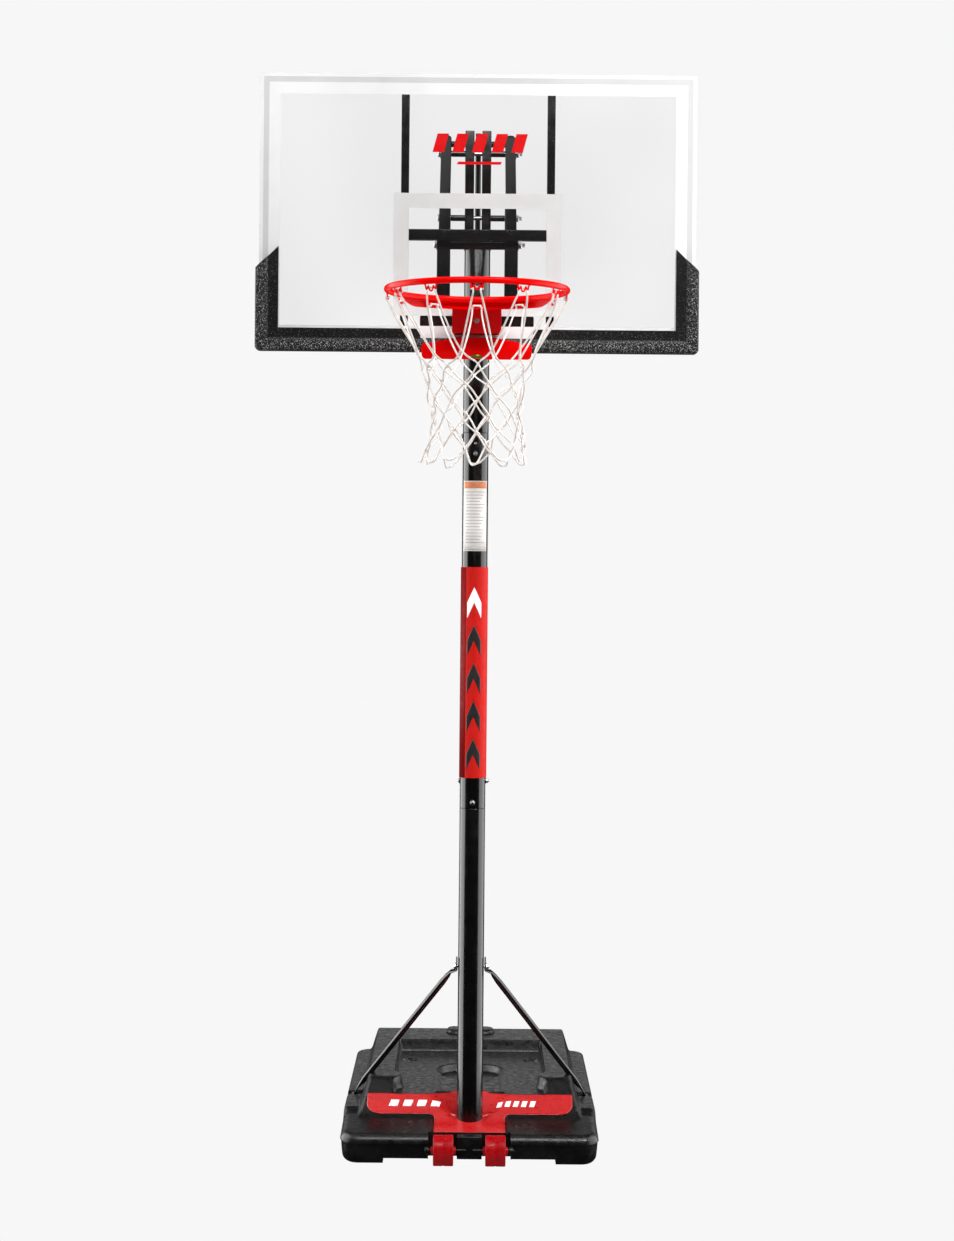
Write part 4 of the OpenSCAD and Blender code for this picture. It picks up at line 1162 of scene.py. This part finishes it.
def build_lever():
    y, z = ADJUSTER_Y + 0.024, 2.045
    bm = bmesh.new()
    outline = [
        (y - 0.006, z - 0.006), (y + 0.030, z - 0.007), (y + 0.040, z - 0.020), (y + 0.041, z - 0.066),
        (y + 0.047, z - 0.070), (y + 0.054, z - 0.064), (y + 0.054, z - 0.004), (y + 0.048, z + 0.006),
        (y - 0.004, z + 0.007),
    ]
    add_prism(bm, outline, "x", -0.007, 0.007, 0.002)
    rod(bm, "x", (0, y, z), -0.0075, 0.0075, 0.0082)
    rod(bm, "x", (0, y, z), -0.0145, 0.0145, 0.0030, 16, 0.0004)
    piece("lever", bm, "lever_red", "lock_lever", ["lock_lever"])


# ---------- Backboard ----------
FACE, BACK = -0.410, -0.405
FRAME_DEEP, PLATE_THICK = 0.025, 0.006
HALF_W = (PANEL_HIGH.x - PANEL_LOW.x) / 2
BOARD_LOW, BOARD_TOP = PANEL_LOW.z, PANEL_HIGH.z


def build_panel():
    bm = bmesh.new()
    add_box(bm, (-HALF_W, FACE, BOARD_LOW), (HALF_W, BACK - 0.0004, BOARD_TOP), 0.0015, 3)
    piece("panel", bm, "clear", "backboard", ["board_panel"])


def ring_of_boxes(bm, low, high, line, depth):
    """Four thin boxes that make a rectangular frame; low and high are (x, z) corners."""
    (x0, z0), (x1, z1) = low, high
    y0, y1 = depth
    for a, b in (
        ((x0, z1 - line), (x1, z1)), ((x0, z0), (x1, z0 + line)),
        ((x0, z0 + line), (x0 + line, z1 - line)), ((x1 - line, z0 + line), (x1, z1 - line)),
    ):
        add_box(bm, (a[0], y0, a[1]), (b[0], y1, b[1]))


def border_ring(bm, start, line, depth):
    """A rectangular band that starts some way in from the panel's edge."""
    low = (-HALF_W + start, BOARD_LOW + start)
    high = (HALF_W - start, BOARD_TOP - start)
    ring_of_boxes(bm, low, high, line, depth)


def build_print():
    """The white border with a grey line in it, and the target square, printed on the panel's back."""
    depth = (BACK - 0.0003, BACK)
    outer, gap, border = 0.010, 0.0155, 0.058
    inset = outer + gap
    bm = bmesh.new()
    border_ring(bm, 0, outer, depth)
    border_ring(bm, inset, border - inset, depth)
    piece("border_print", bm, "print_white", "backboard", ["board_print"])
    bm = bmesh.new()
    border_ring(bm, outer, gap, depth)
    piece("border_line", bm, "print_grey", "backboard")
    bm = bmesh.new()
    ring_of_boxes(bm, (-0.2345, 2.426), (0.2345, 2.768), 0.042, depth)
    piece("target_print", bm, "print_frost", "backboard")


def build_frame():
    """The bars behind the panel: four white ones round its edge and three black ones between."""
    wide, inset, post, post_in = 0.022, 0.010, 0.215, 0.193
    left, right = -HALF_W + inset, HALF_W - inset
    low, high = BOARD_LOW + inset, BOARD_TOP - inset
    for node, x0, x1, z0, z1, look in (
        ("frame_top", left, right, high - wide, high, "frame_white"),
        ("frame_bottom", left, right, low, low + wide, "frame_white"),
        ("frame_left", left, left + wide, low + wide, high - wide, "frame_white"),
        ("frame_right", right - wide, right, low + wide, high - wide, "frame_white"),
        ("frame_upright_left", -post, -post_in, low + wide, high - wide, "frame_black"),
        ("frame_upright_right", post_in, post, low + wide, high - wide, "frame_black"),
        ("frame_cross_bar", -post_in, post_in, 2.638, 2.668, "frame_black"),
    ):
        bm = bmesh.new()
        add_box(bm, (x0, BACK, z0), (x1, BACK + FRAME_DEEP, z1), 0.0022)
        piece(node + "_tube", bm, look, "backboard", [node])


def build_board_brackets():
    """The plate, the two channels, and the tubes and bolts that the arms turn on."""
    bm = bmesh.new()
    plate = rounded_outline(0.318, 0.056, 0.020, 8, (0, 2.411))
    add_prism(bm, plate, "y", BACK, BACK + PLATE_THICK, 0.0008, 2)
    piece("plate_behind_board", bm, "frame_black", "backboard", ["back_plate"])
    half, wall = 0.0185, 0.003
    y0, y1 = BACK + FRAME_DEEP, BACK + 0.077
    for side, word in SIDES:
        x0, x1 = side * ARM_X - half, side * ARM_X + half
        outline = [
            (x0, y0), (x1, y0), (x1, y1), (x1 - wall, y1), (x1 - wall, y0 + wall),
            (x0 + wall, y0 + wall), (x0 + wall, y1), (x0, y1),
        ]
        bm = bmesh.new()
        add_prism(bm, outline, "z", 2.349, 2.668, 0.0010, 2)
        piece(f"channel_{word}_rail", bm, "frame_black", "backboard", [f"channel_{word}"])
    tubes, bolts = bmesh.new(), bmesh.new()
    for z in (BOARD_LOWER, BOARD_UPPER):
        rod(tubes, "x", (0, BOARD_PIVOT_Y, z), -0.0765, 0.0765, 0.013)
        bolt_across(bolts, BOARD_PIVOT_Y, z, 0.1140, PIVOT_BOLT_R, PIVOT_HEAD_R)
    piece("board_tubes", tubes, "frame_black", "backboard", ["board_pivot_tubes"])
    piece("board_bolts", bolts, "zinc", "backboard", ["board_pivot_bolts"])


def build_emblem():
    """A plain row of slanted red bars with a thin line under it, printed on the panel's front."""
    y0, y1 = FACE - 0.0004, FACE - 0.0001
    low, high, lean, wide, pitch, first = 2.882, 2.934, 0.014, 0.032, 0.055, -0.128
    bm = bmesh.new()
    for k in range(5):
        x = first + pitch * k
        outline = [(x, low), (x + wide, low), (x + wide + lean, high), (x + lean, high)]
        add_prism(bm, outline, "y", y0, y1)
    add_prism(bm, [(-0.060, 2.848), (0.062, 2.848), (0.066, 2.856), (-0.056, 2.856)], "y", y0, y1)
    piece("panel_bars", bm, "print_red", "backboard")


# ---------- Edge pad ----------
PAD_IN_X, PAD_IN_Z = 0.5545, 2.389
PAD_WIDE, PAD_FLAT = 0.064, 0.045
PAD_BACK = -0.380
PAD_STEP = 0.009
PAD_CORNER = 0.012
# The pad's section as (distance out from its inner edge, y)
PAD_SECTION = (
    (0.0, FACE), (0.0, FACE - 0.0035), (0.0008, FACE - 0.0045), (0.0265, FACE - 0.0045),
    (0.0290, FACE - 0.0060), (0.0340, FACE - 0.0130), (0.0370, FACE - 0.0148), (0.0540, FACE - 0.0160),
    (0.0585, FACE - 0.0155), (0.0620, FACE - 0.0130), (PAD_WIDE, FACE - 0.0090),
    (PAD_WIDE, PAD_BACK - 0.001), (PAD_WIDE - 0.001, PAD_BACK), (0.0562, PAD_BACK),
    (0.0553, PAD_BACK - 0.001), (0.0553, FACE),
)
# Shares of the corner's cut, at three steps round it, towards one side and the other
CORNER_SHARES = ((0.293, 0.293), (0.076, 0.617), (0.0, 1.0))


def corner_cut(depth):
    """How far the pad's outer corner is rounded off at a distance from its inner edge."""
    return PAD_CORNER * max(min((depth - PAD_FLAT) / (PAD_WIDE - PAD_FLAT), 1), 0)


def grain_and_glint_raised_band(pad):
    """Gives the raised outer band of a pad its speckled skin, painted paler as a painted reflection of the
    side lights on that band.
    """
    pad.data.materials.append(LOOKS["pad_grain_and_glints"])
    for face in pad.data.polygons:
        if face.center.y - POLE_Y < FACE - PAD_STEP:
            face.material_index = 1


def corner_stations(side, upright):
    """Rings of points that start a pad at its lower corner, for the bottom pad or an upright one."""
    stations = []
    for small, large in CORNER_SHARES:
        across, up = (small, large) if upright else (large, small)
        ring = []
        for depth, y in PAD_SECTION:
            cut = corner_cut(depth)
            ring.append((side * (PAD_IN_X + depth - across * cut), y, PAD_IN_Z - depth + up * cut))
        stations.append(ring)
    return stations


def build_pad():
    """The soft edge along the board's bottom, narrower behind the rim, and up both sides."""
    notch, thin_from = 0.157, 0.0265
    high, drop = 2.616, 0.062
    bm = bmesh.new()
    for side in (-1, 1):
        stations = corner_stations(side, upright=False)
        stations.append([(side * notch, y, PAD_IN_Z - depth) for depth, y in PAD_SECTION])
        loft(bm, stations)
    thin = [(thin_from, FACE)] + [point for point in PAD_SECTION if point[0] >= thin_from]
    loft(bm, [[(x, y, PAD_IN_Z - depth) for depth, y in thin] for x in (-notch, notch)])
    pad = piece("pad_bottom", bm, "pad_black", "backboard", ["edge_pad_bottom"], smooth=30)
    grain_and_glint_raised_band(pad)
    for side, word in SIDES:
        stations = corner_stations(side, upright=True)
        for top in (high - 0.004, high):
            stations.append([
                (side * (PAD_IN_X + depth), y, top - drop * depth / PAD_WIDE) for depth, y in PAD_SECTION
            ])
        bm = bmesh.new()
        loft(bm, stations)
        pad = piece(f"pad_{word}", bm, "pad_black", "backboard", [f"edge_pad_{word}"], smooth=30)
        grain_and_glint_raised_band(pad)


# ---------- Rim ----------
RIM_Y = RING.y - POLE_Y
RIM_Z = RING.z
HINGE_Y, HINGE_Z = FACE - 0.018, 2.384


def build_ring():
    path = [Vector((RING_R * cos, RIM_Y + RING_R * sin, RIM_Z)) for cos, sin in circle(160)]
    bm = bmesh.new()
    add_tube(bm, path, ROD_R, 24, closed=True)
    piece("ring", bm, "rim_red", "rim", ["rim_ring"])


def build_gusset():
    """The crescent plate between ring and bracket, with a flange that follows the ring."""
    low, high, reach, depth = 2.4442, 2.4490, 0.200, 0.134
    neck, neck_front, neck_back = 0.068, FACE - 0.069, FACE - 0.009
    radius = RING_R + 0.003
    start = math.asin(reach / radius)
    outline = []
    for k in range(33):
        angle = start - 2 * start * k / 32
        outline.append((radius * math.sin(angle), RIM_Y + radius * math.cos(angle)))
    outline += [(-reach, RIM_Y + depth), (-neck, neck_front), (-neck, neck_back)]
    outline += [(neck, neck_back), (neck, neck_front), (reach, RIM_Y + depth)]
    bm = bmesh.new()
    add_prism(bm, outline, "z", low, high, 0.0010, 2)
    flange, taper_from, flange_share = 0.0125, 0.85, 0.92
    inner, outer = RING_R + 0.0085, RING_R + 0.0115
    stations = []
    for k in range(33):
        angle = start * flange_share * (k / 16 - 1)
        end_gap = max(abs(k / 16 - 1) - taper_from, 0) / (1 - taper_from)
        bottom = low - (flange * (1 - end_gap) + 0.002)
        stations.append([
            (r * math.sin(angle), RIM_Y + r * math.cos(angle), z)
            for r, z in ((inner, high - 0.001), (outer, high - 0.001), (outer, bottom), (inner, bottom))
        ])
    loft(bm, stations)
    piece("gusset", bm, "rim_red", "rim", ["rim_gusset"])


def build_bracket():
    """The box between ring and hinge: a front face with notched corners, two cheeks and a lid."""
    half, front, back = 0.068, FACE - 0.075, FACE - 0.009
    low, high, wall, notch, notch_down = 2.371, 2.444, 0.004, 0.009, 0.007
    bm = bmesh.new()
    face = [
        (-half, low), (half, low), (half, high - notch_down), (half - notch, high - notch_down),
        (half - notch, high), (-half + notch, high), (-half + notch, high - notch_down),
        (-half, high - notch_down),
    ]
    add_prism(bm, face, "y", front, front + wall, 0.0008, 2)
    for side in (-1, 1):
        x0 = min(side * half, side * (half - wall))
        outline = [
            (back, low), (front + wall * 0.8, low), (front + wall * 0.8, high - 0.008),
            (front + 0.012, high), (back, high),
        ]
        add_prism(bm, outline, "x", x0, x0 + wall, 0.0008, 2)
    add_box(bm, (-half + notch, front + wall * 0.5, high - wall), (half - notch, back, high), 0.0008)
    piece("bracket", bm, "bracket_red", "rim", ["rim_bracket"])
    screw = (0, front, 2.405)
    bm = bmesh.new()
    add_hex(bm, screw, "y", -1, 0.0062, 0.0035, 0.0078)
    rod(bm, "y", screw, 0.0, 0.022, 0.0036, 20)
    piece("bracket_screw", bm, "zinc", "rim", ["rim_bracket_bolt"])


def build_mount():
    """The fixed plate on the board with the two ears that hold the hinge pin, and its bolts."""
    plate_front = FACE - 0.006
    ear_back, ear_front = FACE - 0.005, HINGE_Y - 0.008
    bm = bmesh.new()
    add_box(bm, (-0.062, plate_front, 2.372), (0.062, FACE - 0.0002, 2.440), 0.001)
    for side in (-1, 1):
        x0 = min(side * 0.058, side * 0.062)
        outline = [
            (ear_back, 2.374), (ear_front, 2.374), (ear_front, HINGE_Z + 0.008), (ear_back, HINGE_Z + 0.018),
        ]
        add_prism(bm, outline, "x", x0, x0 + 0.004, 0.0006, 2)
    piece("mount_plate", bm, "rim_red", "backboard", ["rim_mount"])
    bm = bmesh.new()
    for x in (-0.050, 0.050):
        for z in (2.397, 2.427):
            add_hex(bm, (x, plate_front, z), "y", -1, 0.0068, 0.0026)
            rod(bm, "y", (x, 0, z), plate_front, BACK + 0.016, 0.0038, 20)
            add_hex(bm, (x, BACK + PLATE_THICK, z), "y", 1, 0.0068, 0.0060)
    piece("mount_screws", bm, "zinc", "backboard", ["rim_mount_bolts"])
    bm = bmesh.new()
    rod(bm, "x", (0, HINGE_Y, HINGE_Z), -0.0705, 0.0705, 0.0049, 24)
    piece("hinge_pin", bm, "zinc", "backboard", ["rim_pivot_pin"])


def build_springs():
    """Two springs wound round the hinge pin."""
    turns, points_a_turn, length, middle, coil_r = 8, 12, 0.0316, 0.028, 0.0068
    count = turns * points_a_turn
    bm = bmesh.new()
    for side in (-1, 1):
        path = []
        for k in range(count + 1):
            angle = 2 * math.pi * k / points_a_turn
            x = side * middle - length / 2 + length * k / count
            path.append(Vector((x, HINGE_Y + coil_r * math.cos(angle), HINGE_Z + coil_r * math.sin(angle))))
        add_tube(bm, path, 0.0016, 8)
    piece("spring_coils", bm, "spring_steel", "backboard", ["rim_springs"])


def build_level_plate():
    """The folded plate under the rim: sloped shoulders above, and a lower band folded back."""
    half, low, fold = 0.153, 2.303, 2.325
    shape = [
        (-half, 2.340, 2.315), (-half + 0.002, 2.344, 2.309), (-half + 0.005, 2.3455, 2.3055),
        (-half + 0.010, 2.346, 2.3035), (-0.066, 2.360, low), (-0.056, 2.3635, low), (-0.048, 2.364, low),
    ]
    stations = []
    for x, high, bottom in shape + [(-x, high, bottom) for x, high, bottom in reversed(shape)]:
        bend = min(fold, high - 0.006)
        stations.append([
            (x, FACE - 0.016, high), (x, FACE - 0.0255, high), (x, FACE - 0.0270, high - 0.0015),
            (x, FACE - 0.0300, bend + 0.002), (x, FACE - 0.0298, bend - 0.0015),
            (x, FACE - 0.0222, bottom + 0.0005), (x, FACE - 0.0210, bottom), (x, FACE - 0.016, bottom),
        ])
    bm = bmesh.new()
    loft(bm, stations)
    piece("level_plate_fold", bm, "rim_red", "backboard", ["level_plate"], smooth=25)


def build_level_vial():
    glass = rounded_outline(0.032, 0.0095, 0.0045, 6, (0, 2.3095))
    bubble = rounded_outline(0.009, 0.0035, 0.0016, 4, (0.003, 2.3135))
    bm = bmesh.new()
    add_prism(bm, glass, "y", FACE - 0.0285, FACE - 0.022, 0.001, 3)
    piece("vial", bm, "vial", "backboard", ["level_vial"])
    bm = bmesh.new()
    add_prism(bm, bubble, "y", FACE - 0.0292, FACE - 0.028, 0.0004, 2)
    piece("vial_bubble", bm, "vial_bright", "backboard")


# ---------- Hooks and net ----------
HOOKS = 12
HOOK_STEP = 2 * math.pi / HOOKS
# Heights of the net's rows of knots and the net's radius at each, and of its lowest loops
NET_ROWS = (
    (2.287, 0.160), (2.246, 0.145), (2.206, 0.132), (2.165, 0.122), (2.122, 0.118), (2.080, 0.122),
    (2.038, 0.131),
)
NET_END = (1.996, 0.142)
CORD = 0.0024
CORD_STEPS = 7
CORD_CROSSING = 0.0017


def hook_ways(number):
    """Unit directions outwards and sideways at one of the ring's hooks."""
    angle = 2 * math.pi * number / HOOKS - math.pi / 2
    out = Vector((math.cos(angle), math.sin(angle), 0))
    return out, Vector((-out.y, out.x, 0))


def build_hooks():
    """Twelve bent wires under the ring, each a W that the net's loops hang on."""
    lean, wire_r = 0.15, 0.0023
    half = (
        (0.0, -0.0175), (0.0035, -0.0155), (0.0060, -0.0095), (0.0075, -0.0050), (0.0095, -0.0080),
        (0.0115, -0.0135), (0.0140, -0.0125), (0.0155, -0.0050), (0.0175, 0.0), (0.0225, 0.0015),
    )
    shape = [(-s, z) for s, z in reversed(half)] + list(half[1:])
    bm = bmesh.new()
    for number in range(HOOKS):
        out, side = hook_ways(number)
        centre = Vector((0, RIM_Y, RIM_Z - ROD_R + 0.0006)) + out * RING_R
        path = [centre + side * s + Vector((0, 0, z)) + out * (lean * z) for s, z in shape]
        add_tube(bm, rounded_path(path, 3), wire_r, 8)
    piece("hooks", bm, "rim_red", "rim", ["net_hooks"])


def rounded_path(points, steps):
    """Catmull-Rom curve through points."""
    last = len(points) - 1
    out = []
    for i in range(last):
        a, b, c, d = (points[max(min(j, last), 0)] for j in range(i - 1, i + 3))
        for k in range(steps):
            t = k / steps
            bent = (2 * a - 5 * b + 4 * c - d) * t * t + (3 * b - a - 3 * c + d) * t ** 3
            out.append(0.5 * ((2 * b) + (c - a) * t + bent))
    out.append(points[-1])
    return out


def around(angle, radius, z):
    return Vector((radius * math.cos(angle), RIM_Y + radius * math.sin(angle), z))


def hook_end(number, side):
    """Half of the loop of cord that lies across a hook, and the first stretch down from it."""
    out, along = hook_ways(number)
    base = Vector((0, RIM_Y, RIM_Z - ROD_R)) + out * (RING_R - 0.0055)
    run = ((0.0, -0.0085), (0.0080, -0.0090), (0.0125, -0.0135), (0.0135, -0.0300))
    return [base + along * (side * s) + Vector((0, 0, z)) for s, z in run]


def make_knots(shuffle):
    """Rows of knots, each row half a step round from the one above, looser towards the bottom."""
    knots = []
    for row, (z, radius) in enumerate(NET_ROWS):
        loose = 0.3 + 0.7 * row / len(NET_ROWS)
        ring = []
        for k in range(HOOKS):
            angle = (k + (0.5 if row % 2 == 0 else 0.0)) * HOOK_STEP - math.pi / 2
            angle += shuffle.uniform(-0.09, 0.09) * loose
            r = radius + shuffle.uniform(-0.009, 0.006) * loose
            ring.append(around(angle, r, z + shuffle.uniform(-0.011, 0.011) * loose))
        knots.append(ring)
    return knots


def strand_path(number, side, knots):
    """The points of one strand, which zigzags from its hook through one knot of every row."""
    path = hook_end(number, side)
    index = number if side > 0 else number - 1
    for row in range(len(NET_ROWS)):
        knot = knots[row][index % HOOKS]
        out = Vector((knot.x, knot.y - RIM_Y, 0)).normalized()
        path.append(knot + out * (CORD_CROSSING * side * (-1) ** row))
        if side > 0 and row % 2 == 0:
            index += 1
        elif side < 0 and row % 2 == 1:
            index -= 1
    return path


def bottom_loop(first, second, number, shuffle):
    """The points of a loop that hangs between two knots of the last row."""
    share, sag = 0.62, Vector((0, 0, -0.010))
    angle = (number + 1) * HOOK_STEP - math.pi / 2 + shuffle.uniform(-0.12, 0.12)
    z = NET_END[0] + shuffle.uniform(-0.008, 0.010)
    middle = around(angle, NET_END[1] + shuffle.uniform(-0.012, 0.008), z)
    left = first.lerp(middle, share) + sag
    right = second.lerp(middle, share) + sag
    return [first, left, middle, right, second]


def slack(points, shuffle):
    """Small waves along a cord so that no stretch is perfectly straight."""
    height, turn_a_step = 0.0022, 0.55
    phase = shuffle.uniform(0, 6.28)
    out = []
    for i, point in enumerate(points):
        wave = height * math.sin(i * turn_a_step + phase)
        out.append(point + Vector((wave, 0.6 * wave, 0)))
    return out


def add_knot(bm, at):
    """A small ball, half as high again as it is wide."""
    stretch = 1.5
    made = bmesh.ops.create_icosphere(
        bm, subdivisions=2, radius=CORD * 1.5, matrix=Matrix.Translation(at)
    )
    for vert in made["verts"]:
        vert.co.z = at.z + (vert.co.z - at.z) * stretch


def build_net():
    shuffle = random.Random(11)
    knots = make_knots(shuffle)
    bm = bmesh.new()
    for number in range(HOOKS):
        for side in (-1, 1):
            path = rounded_path(strand_path(number, side, knots), CORD_STEPS)
            add_tube(bm, slack(path, shuffle), CORD, 8)
    last = knots[-1]
    for number in range(HOOKS):
        loop = bottom_loop(last[number], last[(number + 1) % HOOKS], number, shuffle)
        add_tube(bm, rounded_path(loop, CORD_STEPS), CORD, 8)
    for ring in knots:
        for spot in ring:
            add_knot(bm, spot)
    piece("net_cords", bm, "net_white", "rim", ["net"], smooth=80)


# ---------- Studio ----------
BACKDROP = 0.930
SURROUND = 0.03


def emissive(name, level):
    material = bpy.data.materials.new(name)
    material.use_nodes = True
    tree = material.node_tree
    tree.nodes.clear()
    glow = tree.nodes.new("ShaderNodeEmission")
    glow.inputs["Color"].default_value = (*grey(level), 1)
    out = tree.nodes.new("ShaderNodeOutputMaterial")
    tree.links.new(glow.outputs["Emission"], out.inputs["Surface"])
    return material


def stage_plane(name, corners, material):
    mesh = bpy.data.meshes.new(name)
    mesh.from_pydata(corners, [], [tuple(range(len(corners)))])
    mesh.materials.append(material)
    obj = bpy.data.objects.new(name, mesh)
    SCENE.collection.objects.link(obj)
    return obj


def area_light(name, size, power, at, aim):
    data = bpy.data.lights.new(name, "AREA")
    data.shape = "RECTANGLE"
    data.size, data.size_y = size
    data.energy = power
    light = bpy.data.objects.new(name, data)
    SCENE.collection.objects.link(light)
    light.location = at
    light.rotation_euler = (Vector(aim) - Vector(at)).to_track_quat("-Z", "Y").to_euler()
    return light


def white_surround():
    """A world that is paper white behind the object and nearly black in its reflections."""
    world = bpy.data.worlds.new("world")
    SCENE.world = world
    world.use_nodes = True
    tree = world.node_tree
    dark = tree.nodes["Background"]
    dark.inputs["Color"].default_value = (*grey(SURROUND), 1)
    pale = tree.nodes.new("ShaderNodeBackground")
    pale.inputs["Color"].default_value = (*grey(BACKDROP), 1)
    seen = tree.nodes.new("ShaderNodeLightPath")
    mix = tree.nodes.new("ShaderNodeMixShader")
    tree.links.new(seen.outputs["Is Camera Ray"], mix.inputs[0])
    tree.links.new(dark.outputs["Background"], mix.inputs[1])
    tree.links.new(pale.outputs["Background"], mix.inputs[2])
    tree.links.new(mix.outputs["Shader"], tree.nodes["World Output"].inputs["Surface"])


def build_studio():
    wide, front, back = 6.0, -5.0, 5.5
    floor = stage_plane(
        "floor", [(-wide, front, 0), (wide, front, 0), (wide, back, 0), (-wide, back, 0)],
        emissive("white_paper", BACKDROP),
    )
    floor.visible_glossy = False
    white_surround()
    area_light("left_box", (4.0, 4.6), 250, (-3.1, 0.9, 1.9), (0, 0.9, 1.8))
    area_light("right_box", (4.2, 4.6), 190, (3.1, 0.5, 1.9), (0, 0.5, 1.8))
    area_light("front_box", (4.2, 2.2), 270, (0.3, -3.4, 5.8), (0, -0.2, 1.5))
    low = area_light("low_box", (1.4, 1.2), 9, (2.4, -3.0, 5.0), (0, 0, 0.8))
    low.data.spread = math.radians(36)
    rear = area_light("rear_strip", (7.0, 1.2), 14, (0, 4.3, 1.1), (0, 0, 0.9))
    rear.visible_camera = False
    top = area_light("top_box", (2.4, 2.2), 9, (-0.7, 1.4, 4.6), (0, 0.1, 0.1))
    top.visible_camera = False
    SCENE.view_settings.view_transform = "Standard"
    SCENE.view_settings.look = "None"


build_tank()
build_decal()
build_decal_dashes()
build_wheels()
build_fill_cap()
build_pole()
build_pole_bolts()
build_sleeve()
build_label()
build_struts()
build_pole_head()
build_arms()
build_adjuster()
build_guide()
build_lever()
build_panel()
build_print()
build_frame()
build_board_brackets()
build_emblem()
build_pad()
build_ring()
build_gusset()
build_bracket()
build_mount()
build_springs()
build_level_plate()
build_level_vial()
build_hooks()
build_net()
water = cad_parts["ballast"].data
water.materials.clear()
water.materials.append(LOOKS["water"])
build_studio()
